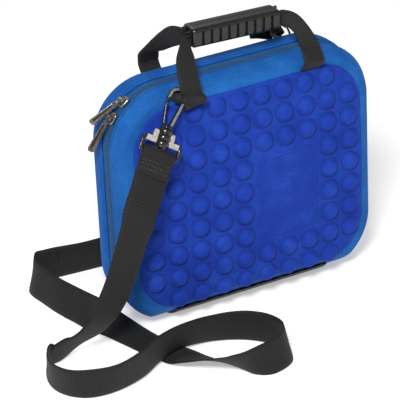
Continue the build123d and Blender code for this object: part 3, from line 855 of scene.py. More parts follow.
def base_profile(offset):
    """Points (y, z) from the front edge, under the case, to the rear edge."""
    def roll(half):
        radius = half.roll_radius + offset
        top_angle = math.degrees(math.asin((half.roll_z - BASE_TOP_Z) / radius))
        points = []
        for angle in np.linspace(top_angle, BASE_LOW_ANGLE, 16):
            dy, dz = polar(angle, radius)
            points.append((ROLL_Y + half.side * dy, max(half.roll_z - dz, FLAT_Z - offset)))
        return points

    flat = [(y, FLAT_Z - offset) for y in np.linspace(0.5, 20, 10)]
    return roll(FRONT) + flat + roll(REAR)[::-1]


def base_strip():
    """One piece under both halves."""
    loop = base_profile(BASE_OUTER) + base_profile(BASE_INNER)[::-1]
    stations = np.linspace(-BASE_HALF_LENGTH, BASE_HALF_LENGTH, 90)
    verts = [(x, y, z) for x in stations for y, z in loop]
    ob = new_mesh("base_hinge_strip", verts, tube_faces(len(stations), len(loop)), BASE_RUBBER)
    bevel(ob, 0.5, angle=50, name="edge")
    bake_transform(ob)
    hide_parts("base_strip_front", "base_strip_rear")


base_strip()

# ------------------------------------------------------------------ ribbons
# front hook: its tip, and the directions down the hook, across it and out of its face
HOOK_TIP = np.array([-67.7, -29.0, 229.2])
HOOK_DOWN = unit([-0.565, -0.357, -0.744])
HOOK_ACROSS = square_to(np.array([0.825, -0.247, -0.507]), HOOK_DOWN)
HOOK_OUT = unit(np.cross(HOOK_ACROSS, -HOOK_DOWN))
HOOK_AXES = (HOOK_ACROSS, -HOOK_DOWN, HOOK_OUT)

STRAP_WIDTH = 30
ADJUSTER_Y = 101.0         # y of the run through the strap adjuster


def ribbon(name, stations, thickness, material, on_floor=False):
    """Closed strip with thin edges and UV in mm.

    stations: centre x, y, z; width direction x, y, z; width.
    """
    rows = np.array(stations, float)
    rows[:, 3:6] = unit(rows[:, 3:6])
    rows = catmull(rows, 8)
    centres, widths = rows[:, :3], rows[:, 6]
    tangents = path_tangents(centres)
    across = square_to(unit(rows[:, 3:6]), tangents)
    normals = np.cross(tangents, across)
    if on_floor:
        lowest = (centres[:, 2] - np.abs(across[:, 2]) * widths / 2
                  - np.abs(normals[:, 2]) * thickness / 2)
        centres[:, 2] += np.maximum(0.25 - lowest, 0)
    travel = path_lengths(centres)

    places = np.linspace(-1, 1, 9)
    upper = [(v, 0.5 - 0.275 * max(0.0, (abs(v) - 0.9) / 0.1) ** 2, 0) for v in places]
    lower = [(v, -half_height, 200) for v, half_height, _ in upper[::-1]]
    section = upper + lower            # across, height, UV shift
    verts, uv = [], []
    for i, centre in enumerate(centres):
        for v, height, shift in section:
            offset = v * widths[i] / 2
            verts.append(centre + across[i] * offset + normals[i] * height * thickness)
            uv.append((travel[i], offset + shift))
    return new_mesh(name, verts, tube_faces(len(centres), len(section)), material, uv=uv)


def strap_centres(table):
    """Stations from rows of centre x, y, z and width direction x, y, z."""
    return [(*row, STRAP_WIDTH) for row in table]


def strap_edges(table):
    """Stations from rows of one edge x, y, z and the other edge x, y, z."""
    first, second = np.split(np.array(table, float), 2, axis=1)
    return strap_centres(np.hstack([(first + second) / 2, second - first]))


def strap_at_hook(reaches):
    """Stations in line with the front hook, at these distances down from its tip."""
    return strap_centres([(*(HOOK_TIP + HOOK_DOWN * r), *HOOK_ACROSS) for r in reaches])


def turn_stations(stations, width_sign):
    """Half turn of stations; width_sign -1 also reverses the width direction."""
    turned = np.array(stations, float)
    turned[:, :3] = half_turn(turned[:, :3])
    turned[:, 3:6] *= width_sign * np.array([-1, -1, 1])
    return turned.tolist()


# centre x, y, z, width direction x, y, z: down from the front hook to the floor
FRONT_DROP = [
    (-135.3, -70.8, 134.5, 0.93, -0.12, -0.36), (-141.2, -70.0, 119.7, 0.986, 0, -0.167),
    (-148.7, -66.0, 92.8, 0.999, 0, -0.055), (-156.2, -60.0, 68.3, 0.988, 0, -0.156),
    (-163.5, -51.0, 46.0, 0.95, 0.12, -0.28), (-171.5, -41.0, 30.0, 0.80, 0.35, -0.48),
    (-184.0, -33.5, 20.6, 0.60, 0.50, -0.62), (-198.0, -34.0, 16.0, 0.22, 0.42, -0.88)]
# upper edge x, y, z, lower edge x, y, z: loops on the floor in front
FRONT_LOOPS = [
    (-213.0, -44.0, 27.5, -207.0, -29.0, 1.2), (-221.0, -59.0, 28.5, -217.0, -46.0, 1.2),
    (-222.0, -74.0, 29.5, -219.5, -66.0, 1.2), (-215.0, -90.0, 30.5, -213.0, -84.0, 1.2),
    (-199.0, -99.5, 30.8, -199.0, -95.0, 1.2), (-178.0, -104.0, 31.0, -176.0, -98.0, 1.8),
    (-154.0, -98.0, 32.0, -149.0, -92.0, 3.2), (-132.0, -87.0, 33.5, -126.0, -80.0, 5.0),
    (-109.0, -80.0, 34.0, -104.0, -70.0, 5.5), (-90.0, -76.0, 33.0, -86.0, -68.0, 3.5),
    (-72.0, -75.0, 31.5, -69.0, -69.0, 1.8), (-55.0, -78.0, 31.0, -53.0, -75.0, 1.2),
    (-40.0, -86.0, 31.0, -39.0, -85.0, 1.2), (-28.5, -100.0, 31.0, -27.0, -100.0, 1.2),
    (-25.0, -118.0, 30.5, -20.5, -117.0, 1.2), (-35.0, -131.0, 29.0, -27.0, -136.0, 1.2),
    (-55.0, -138.0, 28.5, -48.0, -144.0, 1.2)]
# centre x, y, z, width direction x, y, z: lying down, then back past the left side
FRONT_UNDERPASS = [
    (-69.0, -137.5, 13.2, 0.35, 0.15, -0.92), (-79.0, -126.5, 11.2, 0.45, 0.50, -0.74),
    (-86.0, -113.5, 8.6, 0.48, 0.68, -0.55), (-93.4, -101.2, 6.8, 0.55, 0.72, -0.42),
    (-100.0, -89.5, 4.4, 0.74, 0.62, -0.24), (-105.2, -76.5, 1.7, 0.84, 0.54, -0.03),
    (-109.8, -62.0, 1.1, 0.86, 0.51, 0.0), (-115.4, -47.6, 1.1, 0.88, 0.47, 0.0),
    (-122.7, -24.3, 2.3, 0.88, 0.46, 0.07), (-131.7, 0.2, 5.8, 0.82, 0.45, 0.30)]
# lower edge x, y, z, upper edge x, y, z: round to the back of the case
LEFT_TO_BACK = [
    (-152.0, 17.9, 1.2, -137.8, 24.0, 25.4), (-157.0, 36.8, 1.2, -145.0, 44.0, 27.3),
    (-160.5, 54.8, 1.2, -150.6, 62.6, 28.2), (-163.0, 73.7, 1.2, -153.5, 81.4, 28.5),
    (-165.2, 90.8, 1.2, -154.8, 97.0, 28.4), (-162.8, 102.5, 1.2, -152.6, 108.5, 28.2),
    (-153.0, 110.4, 1.2, -145.0, 116.6, 29.0), (-142.0, 111.3, 1.2, -139.0, 115.4, 30.2),
    (-134.0, 111.0, 1.2, -133.6, 114.2, 30.8), (-127.2, 110.6, 1.2, -127.2, 113.0, 31.0)]
# upper edge x, y, z, lower edge x, y, z: along the back, through the adjuster
BACK_RUN = [
    (-128.4, 113.1, 31.0, -128.4, 110.6, 1.2), (-104.0, 108.0, 31.0, -104.0, 108.5, 1.2),
    (-76.0, 103.5, 33.0, -76.0, 103.5, 3.0),
    *[(x, ADJUSTER_Y, 34.8, x, ADJUSTER_Y, 4.8) for x in (-52.0, -28.0, -4.0, 20.0)],
    (50.0, 105.0, 32.5, 50.0, 105.0, 2.5)]
# centre x, y, z, width direction x, y, z: up to the rear hook
BACK_RISE = [
    (80.0, 109.0, 15.5, 0.0, -0.50, -0.87), (104.0, 108.0, 13.0, -0.10, -0.95, -0.25),
    (122.0, 102.0, 34.0, -0.25, -0.96, 0.0), (131.5, 94.0, 62.0, -0.60, -0.78, 0.0),
    (135.5, 88.0, 90.0, -0.86, -0.40, -0.10), (136.2, 85.0, 110.0, -0.94, -0.05, -0.25),
    (135.5, 83.6, 126.0, -0.95, 0.12, -0.32)]


def shoulder_strap():
    front = (strap_at_hook((79.6, 86.0, 100.0, 112.4)) + strap_centres(FRONT_DROP)
             + strap_edges(FRONT_LOOPS) + strap_centres(FRONT_UNDERPASS)
             + strap_edges(LEFT_TO_BACK))
    rear = (strap_edges(BACK_RUN) + strap_centres(BACK_RISE)
            + turn_stations(strap_at_hook((119.4, 112.4, 100.0, 86.0, 79.6)), width_sign=1))
    for half, stations in ((FRONT, front), (REAR, rear)):
        ob = ribbon(f"shoulder_strap_{half.name}_run", stations, 1.5, STRAP_WEBBING,
                    on_floor=True)
        fit(ob, half.body, "webbing", f"shoulder_strap_{half.name}")


# handle stations: centre x, y, z, width direction x, y, z, width
# folded foot at the front hook; the rear one is the same after a half turn
HOOK_FOOT = [
    (-58.4, -36.9, 217.9, 0.94, -0.2, 0.28, 20), (-58.4, -37.7, 215.8, 0.94, -0.2, 0.28, 20),
    (-58.5, -39.4, 214.9, 0.94, -0.2, 0.28, 20), (-58.6, -41.0, 216.0, 0.94, -0.2, 0.28, 20),
    (-58.9, -41.0, 218.6, 0.94, -0.2, 0.28, 20), (-59.2, -39.4, 220.9, 0.97, -0.1, 0.15, 20)]
# left leg, through the grip, right leg and its foot
FRONT_HANDLE = [
    *HOOK_FOOT,
    (-59.6, -36.6, 223.6, 1, 0, -0.085, 20), (-60.2, -35.2, 229.5, 0.99, 0, -0.13, 20),
    (-60.4, -33.6, 235.0, 0.978, 0, -0.211, 20), (-58.2, -26.0, 245.6, 0.958, 0, -0.288, 20),
    (-53.5, -17.5, 252.0, 0.93, 0, -0.37, 16.5), (-49.0, -9.5, 257.0, 0.80, 0, -0.60, 12.0),
    (-45.0, -5.6, 259.6, 0.45, 0, -0.89, 13), (-40.0, -5.0, 260.1, 0.0, 0, -1, 14),
    (2.0, -5.0, 258.8, 0.0, 0, -1, 14), (44.0, -5.0, 257.5, 0.0, 0, -1, 14),
    (50.0, -6.0, 257.0, -0.3, 0, -0.95, 14), (56.5, -9.5, 253.6, -0.6, 0, -0.8, 14),
    (61.0, -15.5, 246.6, -0.85, 0, -0.5, 14), (63.0, -24.0, 237.0, -0.98, 0, -0.15, 17),
    (62.0, -31.5, 231.0, -0.97, 0, 0.20, 20), (61.5, -35.4, 225.2, -0.98, 0, 0.1, 20),
    (61.5, -35.9, 222.6, -0.99, 0, 0.1, 20), (61.5, -33.2, 218.2, -1, 0, 0.1, 20),
    (61.5, -28.6, 214.0, -1, 0, 0.0, 20), (61.5, -26.0, 211.6, -1, 0, 0.0, 20)]
# left foot and leg, through the grip, right leg and the foot at the rear hook
REAR_HANDLE = [
    (-57.0, 38.0, 211.6, 1, 0, 0, 20), (-57.0, 40.8, 214.2, 1, 0, 0, 20),
    (-57.0, 45.2, 218.2, 1, 0, 0, 20), (-57.0, 47.9, 222.6, 1, 0, 0, 20),
    (-57.0, 47.4, 225.2, 1, 0, -0.05, 20), (-58.2, 44.6, 230.6, 1, 0, -0.03, 20),
    (-59.3, 40.2, 235.4, 0.99, 0, -0.12, 20), (-58.4, 33.0, 240.6, 0.90, 0, -0.42, 18.5),
    (-56.0, 25.0, 247.4, 0.70, 0, -0.70, 18), (-52.8, 17.0, 254.0, 0.42, 0, -0.90, 18.5),
    (-49.5, 10.5, 258.6, 0.15, 0, -0.98, 19), (-46.0, 6.5, 259.8, 0.0, 0, -1, 16),
    (-40.0, 5.0, 260.1, 0.0, 0, -1, 14), (2.0, 5.0, 258.8, 0.0, 0, -1, 14),
    (44.0, 5.0, 257.5, 0.0, 0, -1, 14), (49.5, 7.5, 256.0, 0.1, -0.35, -0.93, 14),
    (52.5, 15.5, 249.5, 0.6, -0.45, -0.65, 14), (55.0, 27.5, 239.8, 0.93, -0.2, -0.3, 17),
    (58.8, 45.4, 232.0, 0.99, -0.06, 0.0, 20), (59.7, 47.4, 225.2, 1, 0, 0.085, 20),
    *turn_stations(HOOK_FOOT[::-1], width_sign=-1)]


def handle(half, stations, far_foot):
    """One strip: foot, leg, through the grip, leg, foot."""
    tag = half.name
    ob = ribbon(f"{tag}_handle_strip", stations, 1.6, HANDLE_WEBBING)
    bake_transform(ob)
    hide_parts(f"{tag}_handle_webbing", far_foot)


shoulder_strap()
handle(FRONT, FRONT_HANDLE, "front_handle_foot_right")
handle(REAR, REAR_HANDLE, "rear_handle_foot_left")

# ------------------------------------------------------------------ hooks
# Hook parts are drawn at the front hook in its own axes: x across, y up the hook from its
# tip, z out of its face. The rear hook is the front one after a half turn.
CLAW_SPINE = [(2.2, -36.4), (3.2, -32), (4.4, -26), (5.5, -21), (6.4, -16), (6.95, -12),
              (7.0, -8.2)]
CLAW_ARC_X, CLAW_ARC_Y, CLAW_ARC_RADIUS = 0.5, -8.2, 6.5
CLAW_NOSE = [(-6.0, -8.2), (-6.5, -10.4), (-6.9, -12.6)]
GATE_PATH = [(-3.4, -34.7, 0), (-4.0, -32.4, 0), (-4.9, -28.5, 0), (-5.7, -24.6, 0),
             (-6.3, -21, 0), (-6.7, -17, 0), (-6.9, -13.8, 0)]
# collar and post under the claw: radius, y
COLLAR_PROFILE = [
    (2.5, -35.0), (4.3, -35.1), (4.9, -35.5), (4.9, -36.7), (4.4, -37.1), (2.5, -37.2),
    (2.5, -52.2), (4.0, -52.3), (4.2, -52.6), (4.2, -53.4), (3.6, -53.8), (0.5, -53.8)]
BARREL_TOP, BARREL_RIB_PITCH = -37.5, 5.4
# one rib of the barrel: radius, drop from the top of the rib
BARREL_RIB = [(5.3, 0), (6.0, 0.3), (6.35, 1.0), (6.4, 2.4), (6.25, 3.9), (5.8, 4.5),
              (5.1, 4.8), (5.0, 5.3)]
# half of the strap loop, from the shoulder to the middle of the bar: x, y, z
LOOP_PATH = [(14.4, -48.4, 0), (16.4, -48.7, 0), (17.5, -50.6, 0), (17.6, -54, 0),
             (17.5, -57.6, 0), (16.4, -59.6, 0), (13.5, -59.9, 0), (7, -59.9, 0),
             (0.0, -59.9, 0)]
SHOULDER_POST = [(7.6, -50.4, 0), (7.6, -46, 0), (7.5, -39.9, 0)]
SHOULDER_ARM = [(5.6, -49.0, 0), (10, -49.0, 0), (15.2, -48.9, 0)]
# outer face of the strap end, folded round the bar: y, z
FOLD_FACE = [(-80.6, 1.8), (-80.2, 2.3), (-76, 2.1), (-70, 1.9), (-66.4, 1.75),
             (-64.4, 2.7), (-62.4, 3.5), (-59.6, 3.65), (-56.8, 3.4), (-55.5, 2.3)]
FOLD_TIP = (-55.1, 0.0)
# middle of the webbing loop through the claw, in hook axes
CLAW_LOOP_INSIDE = [(2.2, -9.4, 5.2), (0.6, -8.8, 2.5), (0.4, -8.6, 0), (0.4, -8.4, -3.0),
                    (0.8, -7.0, -6.2)]


def hook_mesh(name, half, part, material, uv=None):
    verts, faces = part
    verts = place(verts, HOOK_TIP, HOOK_AXES)
    return new_mesh(name, turn_if_rear(verts, half), faces, material, uv=uv)


def turn_if_rear(points, half):
    return half_turn(points) if half is REAR else points


def hook_claw(half):
    """Claw with its collar and post, and a thin light grey rib on both faces as a painted
    highlight.
    """
    points = list(CLAW_SPINE)
    for k in range(1, 12):
        dx, dy = polar(180 * k / 12, CLAW_ARC_RADIUS)
        points.append((CLAW_ARC_X + dx, CLAW_ARC_Y + dy))
    points += CLAW_NOSE
    path = catmull([(x, y, 0) for x, y in points], 3)
    n = len(path)
    scale = taper(path, [0, n * 0.12, n * 0.8, n - 3, n - 1], [1.15, 1, 1, 0.92, 0.55])
    claw = sweep(path, rounded_box(3.4, 4.0, 1.2), scale)
    ob = hook_mesh(f"{half.name}_hook_claw_part", half,
                   join([claw, lathe(COLLAR_PROFILE, 28)]), HOOK_PLASTIC)
    fit(ob, half.body, "hook_plastic", f"{half.name}_hook_claw")

    # painted highlight: a thin light grey strip laid on each face of the black claw
    rib_path = path[2:-3] + np.array([0, 0, 2.02])
    ribs = join([sweep(rib_path, rounded_box(2.2, 0.6, 0.25, 2)),
                 sweep(rib_path * [1, 1, -1], rounded_box(1.5, 0.5, 0.2, 2))])
    ob = hook_mesh(f"{half.name}_hook_spine_rib", half, ribs, HOOK_SPINE_HIGHLIGHT)
    fit(ob, half.body, "hook_plastic")


def hook_gate(half):
    path = catmull(GATE_PATH, 4)
    n = len(path)
    gate = sweep(path, rounded_box(2.0, 3.6, 0.7), taper(path, [0, 3, n - 3, n - 1],
                                                         [1.25, 1, 1, 0.75]))
    ob = hook_mesh(f"{half.name}_hook_gate_spring", half, gate, HOOK_PLASTIC)
    fit(ob, f"{half.name}_hook_gate", "hook_plastic", f"{half.name}_hook_gate")


def hook_base(half):
    """Ribbed barrel with the strap loop, and the shoulders beside it in light grey as a painted
    highlight.
    """
    profile = [(2.85, BARREL_TOP)]
    for k in range(3):
        top = BARREL_TOP - k * BARREL_RIB_PITCH
        profile += [(radius, top - drop) for radius, drop in BARREL_RIB]
    profile += [(5.0, -54.3), (4.6, -54.3), (4.6, -51.6), (2.85, -51.6)]
    segments = 36
    barrel = (ring_points(profile, segments),
              grid_faces(len(profile), segments, close_rows=True, close_columns=True))
    base_parts, shoulder_parts = [barrel], []
    for side in (1, -1):
        loop, post, arm = [catmull(np.array(table) * [side, 1, 1], steps)
                           for table, steps in ((LOOP_PATH, 5), (SHOULDER_POST, 4),
                                                (SHOULDER_ARM, 4))]
        base_parts.append(sweep(loop, rounded_box(3.3, 3.8, 1.1),
                                taper(loop, [0, 24, 30, len(loop) - 1], [1, 1, 0.78, 0.78])))
        shoulder_parts.append(sweep(post, rounded_box(4.4, 4.2, 0.7),
                                    taper(post, [0, 6, 8], [1, 1, 0.75])))
        shoulder_parts.append(sweep(arm, rounded_box(4.8, 4.3, 0.7)))
    body = f"{half.name}_hook_base"
    ob = hook_mesh(f"{half.name}_hook_swivel_base", half, join(base_parts), HOOK_PLASTIC)
    fit(ob, body, "hook_plastic", body)
    # the shoulders carry a light grey painted highlight
    ob = hook_mesh(f"{half.name}_hook_shoulders", half, join(shoulder_parts), HOOK_SHOULDER_HIGHLIGHT)
    fit(ob, body, "hook_plastic")


def strap_end(half):
    """Strap end folded round the bar of the hook, with slanted stitches on both faces."""
    section = FOLD_FACE + [FOLD_TIP] + [(y, -z) for y, z in FOLD_FACE[::-1]]
    stations = np.concatenate([[-15, -14.7, -14.2], np.linspace(-13, 13, 14),
                               [14.2, 14.7, 15]])
    verts, uv = [], []
    for x in stations:
        thin = 1.0 if abs(x) < 14.5 else (0.75 if abs(x) < 14.9 else 0.5)
        for y, z in section:
            # the edges thin fully over the flat tail, half as much round the bar
            verts.append((x, y, z * (thin if abs(y) > 66 else 0.5 + thin / 2)))
            uv.append((y + 300, x + (0 if z > 0 else 200)))
    fold = (verts, tube_faces(len(stations), len(section)))
    body = f"{half.name}_hook_base"
    ob = hook_mesh(f"{half.name}_strap_end_fold", half, fold, STRAP_WEBBING, uv=uv)
    fit(ob, body, "webbing", f"{half.name}_strap_end")

    starts, ends = [], []
    for z in (2.04, -2.04):
        for y in (-67.6, -71.3, -75.0):
            for k in range(9):
                starts.append((-12.7 + 2.9 * k, y - 1.25, z))
                ends.append((-10.9 + 2.9 * k, y + 1.25, z))
    starts, ends = [turn_if_rear(place(points, HOOK_TIP, HOOK_AXES), half)
                    for points in (starts, ends)]
    ob = threads(f"{half.name}_strap_end_stitching", starts, ends, 0.42, BLACK_THREAD)
    fit(ob, body, "webbing")


def claw_loop(half, replaced):
    """Bunched handle webbing passing through the claw."""
    path = catmull([(-61.0, -38.6, 216.8), (-64.0, -38.8, 218.2),
                    *place(CLAW_LOOP_INSIDE, HOOK_TIP, HOOK_AXES),
                    (-66.4, -24.6, 225.6), (-65.0, -23.0, 224.4)], 6)
    count, segments = len(path), 20
    stops = [0, 0.18, 0.32, 0.5, 0.7, 1.0]
    share = np.arange(count) / (count - 1)
    widths = np.interp(share, stops, [9.0, 8.6, 7.6, 7.6, 8.0, 7.0])
    heights = np.interp(share, stops, [3.0, 5.0, 8.0, 8.0, 4.5, 2.6])
    tangents = path_tangents(path)
    across = square_to(HOOK_ACROSS, tangents)
    normals = np.cross(tangents, across)
    travel = path_lengths(path)
    verts, uv = [], []
    for i in range(count):
        for k in range(segments):
            turn = 2 * math.pi * k / segments
            ripple = 1 + 0.10 * math.cos(5 * turn)
            verts.append(path[i] + across[i] * math.cos(turn) * widths[i] / 2 * ripple
                         + normals[i] * math.sin(turn) * heights[i] / 2 * ripple)
            uv.append((travel[i], k * 0.8))
    ob = new_mesh(f"{half.name}_handle_hook_loop", turn_if_rear(np.array(verts), half),
                  tube_faces(count, segments), HANDLE_WEBBING, uv=uv)
    fit(ob, half.body, "webbing", replaced)


for half, foot in ((FRONT, "front_handle_foot_left"), (REAR, "rear_handle_foot_right")):
    hook_claw(half)
    hook_gate(half)
    hook_base(half)
    strap_end(half)
    claw_loop(half, foot)

# ------------------------------------------------------------------ split grip
GRIP_START = np.array([-41.5, 0.0, 260.2])
GRIP_END = np.array([45.5, 0.0, 257.4])
GRIP_ALONG = unit(GRIP_END - GRIP_START)
GRIP_UP = unit(np.cross(GRIP_ALONG, Y_AXIS))
GRIP_LENGTH = 86.0
GRIP_HALF_HEIGHT = 9.0
GRIP_DEPTH = 10.0          # from the seam to the outer face
GRIP_CORNER = 4.0
GRIP_TOP_FALL = 0.2        # slope of the top towards the outside
SEAM_GAP = 0.15            # from the seam plane to each half
SLOT_CENTRES = [9.0 + i * 8.5 for i in range(9)]
SLOT_DEPTH = 2.3


def grip_section():
    """Points (out from the seam, up): top seam, round the outside, bottom seam, channel."""
    height, radius = GRIP_HALF_HEIGHT, GRIP_CORNER
    corner = GRIP_DEPTH - radius
    section = [(SEAM_GAP, height - 1.6), (SEAM_GAP, height - 0.7), (0.5, height - 0.15),
               (1.1, height)]
    for k in np.linspace(0, 1, 5)[1:]:
        section.append((1.1 + (corner - 1.1) * k, height - GRIP_TOP_FALL * k))
    for angle in np.linspace(90, 0, 9)[1:]:
        out, up = polar(angle, radius)
        section.append((corner + out, height - radius + up - GRIP_TOP_FALL * (angle / 90)))
    for z in np.linspace(height - radius, radius - height, 22)[1:]:
        section.append((GRIP_DEPTH, z))
    for angle in np.linspace(0, -90, 9)[1:]:
        out, up = polar(angle, radius)
        section.append((corner + out, radius - height + up))
    for k in np.linspace(0, 1, 4)[1:]:
        section.append((corner - (corner - 0.6) * k, -height))
    channel = [(SEAM_GAP, -7.7), (3.5, -7.7), (3.5, 7.0), (SEAM_GAP, 7.0)]
    return section + [(SEAM_GAP, -height + 0.6)] + channel


def grip(half):
    section = grip_section()
    stations = list(np.linspace(0, GRIP_LENGTH, 173))
    for centre in SLOT_CENTRES:
        stations += [centre - 1.75, centre - 1.35, centre + 1.35, centre + 1.75]
    stations = np.unique(np.round(stations, 3))
    verts = []
    for x in stations:
        from_end = min(x, GRIP_LENGTH - x)
        shrink = 1.0 - 0.10 * max(0.0, 1 - from_end / 2.2) ** 2
        in_slot = any(abs(x - centre) < 1.4 for centre in SLOT_CENTRES)
        for out, up in section:
            slotted = in_slot and out > 8.0 and -6.2 < up < 5.4
            y, z = (out - SLOT_DEPTH if slotted else out), up
            if out > 3.6 or abs(up) > 7.8:
                y, z = SEAM_GAP + (y - SEAM_GAP) * shrink, z * shrink
            verts.append((x, half.side * y, z))
    verts = place(verts, GRIP_START, (GRIP_ALONG, Y_AXIS, GRIP_UP))
    # built flat and smoothed afterwards, so the mesh has its layer of face shading flags
    ob = new_mesh(f"{half.name}_grip_shell", verts, tube_faces(len(stations), len(section)),
                  GRIP_RUBBER, smooth=False)
    smooth_faces(ob.data)
    sharpen(ob, 40)
    fit(ob, f"{half.name}_handle", "grip_rubber", f"{half.name}_grip_half")


for half in HALVES:
    grip(half)

# ------------------------------------------------------------------ zip sliders and pulls
# Sliders sit on the upper left corner of the zip.
SLIDER_RADIUS = 54.0       # from the corner centre to the underside of a slider
SLIDER_HALF_LENGTH = 5.4
PIN_HEIGHT = 4.7
LUG_OUTLINE = [(-2.1, 2.0), (2.1, 2.0), (2.0, 4.9), (1.3, 5.8), (0, 6.0), (-1.3, 5.8),
               (-2.0, 4.9)]
PIN_PROFILE = [(0.75, -4.0), (0.95, -3.8), (0.95, 3.8), (0.75, 4.0)]       # radius, y
BODY_LEVELS = [(0.0, 1.0), (1.3, 1.0), (1.9, 0.96), (2.35, 0.86), (2.6, 0.7)]  # z, scale
PULL_TAPER = 0.22          # narrowing of the pull towards the pin
# side view of the pull's eye and neck: x, z
NECK_OUTLINE = [(-1.6, 0.0), (-1.4, 0.85), (-0.7, 1.45), (0.2, 1.55), (1.4, 1.3),
                (4.8, 1.05), (4.8, -1.05), (1.4, -1.3), (0.2, -1.55), (-0.7, -1.45),
                (-1.4, -0.85)]
# rim of the pull: share of the way from outer to inner outline, z
RIM_LOOPS = [(0.0, -0.9), (0.06, -1.3), (0.3, -1.5), (0.75, -1.5), (0.94, -1.3),
             (1.0, -1.0), (1.0, 1.0), (0.94, 1.3), (0.75, 1.5), (0.3, 1.5), (0.06, 1.3),
             (0.0, 0.9)]
INLAY_LEVELS = [(0.6, -1.25), (0.93, -1.15), (1.0, -0.85), (1.0, 0.85), (0.93, 1.15),
                (0.6, 1.25)]                                               # scale, z
INLAY_MIDDLE_X = 19.0


def slider_shield():
    """Tapered rounded outline of the slider body, (x, y)."""
    outline = []
    for turn in np.linspace(0, 2 * math.pi, 40, endpoint=False):
        c, s = math.cos(turn), math.sin(turn)
        x = SLIDER_HALF_LENGTH * np.sign(c) * abs(c) ** 0.55
        half_width = 4.2 - 0.5 * (x / SLIDER_HALF_LENGTH)
        outline.append((x, half_width * np.sign(s) * abs(s) ** 0.55))
    return outline


def slider_body(name, origin, axes):
    shield = slider_shield()
    verts = [(x * k, y * k, z) for z, k in BODY_LEVELS for x, y in shield]
    pin_verts, pin_faces = lathe(PIN_PROFILE, 16)
    parts = [(verts, tube_faces(len(BODY_LEVELS), len(shield), flip_ends=True)),
             prism(LUG_OUTLINE, 2.3, 3.7),
             prism(LUG_OUTLINE, -3.7, -2.3),
             (np.array(pin_verts) + [0, 0, PIN_HEIGHT], pin_faces)]
    verts, faces = join(parts)
    ob = new_mesh(f"{name}_slider_body", place(verts, origin, axes), faces, SLIDER_METAL)
    sharpen(ob, 38)
    bevel(ob, 0.25)
    fit(ob, f"{name}_slider", "slider_metal", f"{name}_slider")


def pull_outline(x0, x1, width, radius):
    outline = np.array(rounded_box(x1 - x0, width, radius, steps=8))
    outline[:, 0] += (x0 + x1) / 2
    outline[:, 1] *= 1 - PULL_TAPER * (1 - (outline[:, 0] - x0) / (x1 - x0))
    return outline


def pull_frame(name, origin, axes):
    outer = pull_outline(3.4, 33.4, 7.6, 2.9)
    inner = pull_outline(7.4, 30.4, 4.4, 1.7)
    rim = [(x, y, z) for share, z in RIM_LOOPS for x, y in outer + (inner - outer) * share]
    rim_faces = grid_faces(len(RIM_LOOPS), len(outer), close_rows=True, close_columns=True)
    verts, faces = join([(rim, rim_faces), prism(NECK_OUTLINE, -1.85, 1.85)])
    ob = new_mesh(f"{name}_pull_frame", place(verts, origin, axes), faces, SLIDER_METAL)
    sharpen(ob, 45)
    fit(ob, f"{name}_pull", "slider_metal", f"{name}_pull")


def pull_fill(name, origin, axes):
    outline = pull_outline(7.45, 30.35, 4.3, 1.65)
    verts = []
    for k, z in INLAY_LEVELS:
        shrink = 1 - (1 - k) * 0.25
        verts += [(INLAY_MIDDLE_X + (x - INLAY_MIDDLE_X) * shrink, y * k, z)
                  for x, y in outline]
    faces = tube_faces(len(INLAY_LEVELS), len(outline), flip_ends=True)
    ob = new_mesh(f"{name}_pull_fill", place(verts, origin, axes), faces, PULL_INLAY)
    fit(ob, f"{name}_pull", "pull_inlay", f"{name}_pull_inlay")


def slider(name, position_angle, pull_angle):
    """Angles are in degrees from +x towards +z."""
    c, s = polar(position_angle)
    outward, tangent = np.array([c, 0, s]), np.array([-s, 0, c])
    origin = np.array([-CORNER_X, 0, CORNER_HIGH_Z]) + outward * SLIDER_RADIUS
    slider_body(name, origin, (tangent, Y_AXIS, outward))

    c, s = polar(pull_angle)
    along, up = np.array([c, 0, s]), np.array([-s, 0, c])
    if up.dot(outward) < 0:
        up = -up
    pivot = origin + outward * PIN_HEIGHT
    pull_frame(name, pivot, (along, Y_AXIS, up))
    pull_fill(name, pivot, (along, Y_AXIS, up))


slider("upper", position_angle=128.0, pull_angle=205.6)
slider("lower", position_angle=146.0, pull_angle=233.0)

# these two keep their CAD shapes, with rounded edges and a finish
for name, material, width in (("strap_adjuster", HOOK_PLASTIC, 0.5),
                              ("zip_end_stops", SLIDER_METAL, 0.3)):
    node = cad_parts[name]
    node.data.materials.clear()
    node.data.materials.append(material)
    bevel(node, width, angle=40)

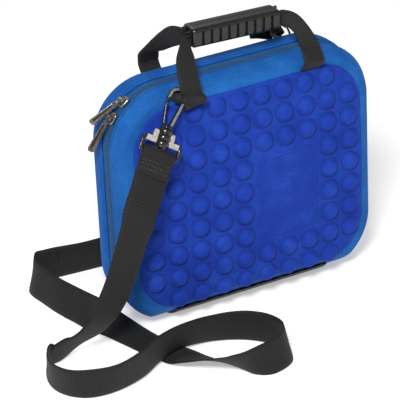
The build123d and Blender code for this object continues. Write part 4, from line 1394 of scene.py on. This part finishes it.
# ------------------------------------------------------------------ stage, light, camera
# everything here is in metres and in the frame's own axes
LIGHT_TARGET = Vector((0, 0, 0.1))
LIGHTS = [                 # name, place, size, power in watts
    ("key", (-0.86, -1.24, 1.46), 0.42, 46),
    ("fill", (1.2, -1.9, 1.2), 1.6, 3),
    ("back", (0.3, 1.3, 1.6), 1.0, 7)]
CAMERA_PLACE = (-0.9699, -1.783, 1.1289)
CAMERA_RIGHT = (0.87437, -0.48339, -0.04274)
CAMERA_UP = (0.25395, 0.38074, 0.88914)
CAMERA_BACK = (-0.41352, -0.78828, 0.45565)


def stage_floor():
    bpy.ops.mesh.primitive_plane_add(size=12, location=(0, 0, 0))
    floor = bpy.context.object
    floor.name = "floor"
    shader = Shader("floor_paper")
    shader.drive("Base Color", shader.ramp(shader.noise(6.0), [(0.3, grey(0.70)),
                                                               (0.7, (0.73, 0.73, 0.725, 1))]))
    shader.set(Roughness=0.9, Specular_IOR_Level=0.1, Emission_Color=(1, 1, 1, 1),
               Emission_Strength=0.40)
    floor.data.materials.append(shader.material)


def studio_world():
    world = bpy.data.worlds.new("studio")
    bpy.context.scene.world = world
    world.use_nodes = True
    color, strength = world.node_tree.nodes["Background"].inputs[:2]
    color.default_value = (1, 1, 1, 1)
    strength.default_value = 0.30


def area_light(name, location, size, power):
    light = bpy.data.lights.new(name, "AREA")
    light.size = size
    light.energy = power
    ob = bpy.data.objects.new(name, light)
    bpy.context.scene.collection.objects.link(ob)
    ob.location = location
    ob.rotation_euler = (LIGHT_TARGET - Vector(location)).to_track_quat("-Z", "Y").to_euler()


def add_camera():
    camera = bpy.data.cameras.new("camera")
    ob = bpy.data.objects.new("camera", camera)
    bpy.context.scene.collection.objects.link(ob)
    pose = Matrix((CAMERA_RIGHT, CAMERA_UP, CAMERA_BACK)).transposed().to_4x4()
    pose.translation = CAMERA_PLACE
    ob.matrix_world = pose
    camera.sensor_width = 36
    camera.lens = 230.13
    camera.clip_start = 0.1
    camera.clip_end = 30
    bpy.context.scene.camera = ob


stage_floor()
studio_world()
for light in LIGHTS:
    area_light(*light)
add_camera()
view = bpy.context.scene.view_settings
view.view_transform = "Standard"
view.look = "None"
view.exposure = 0.0
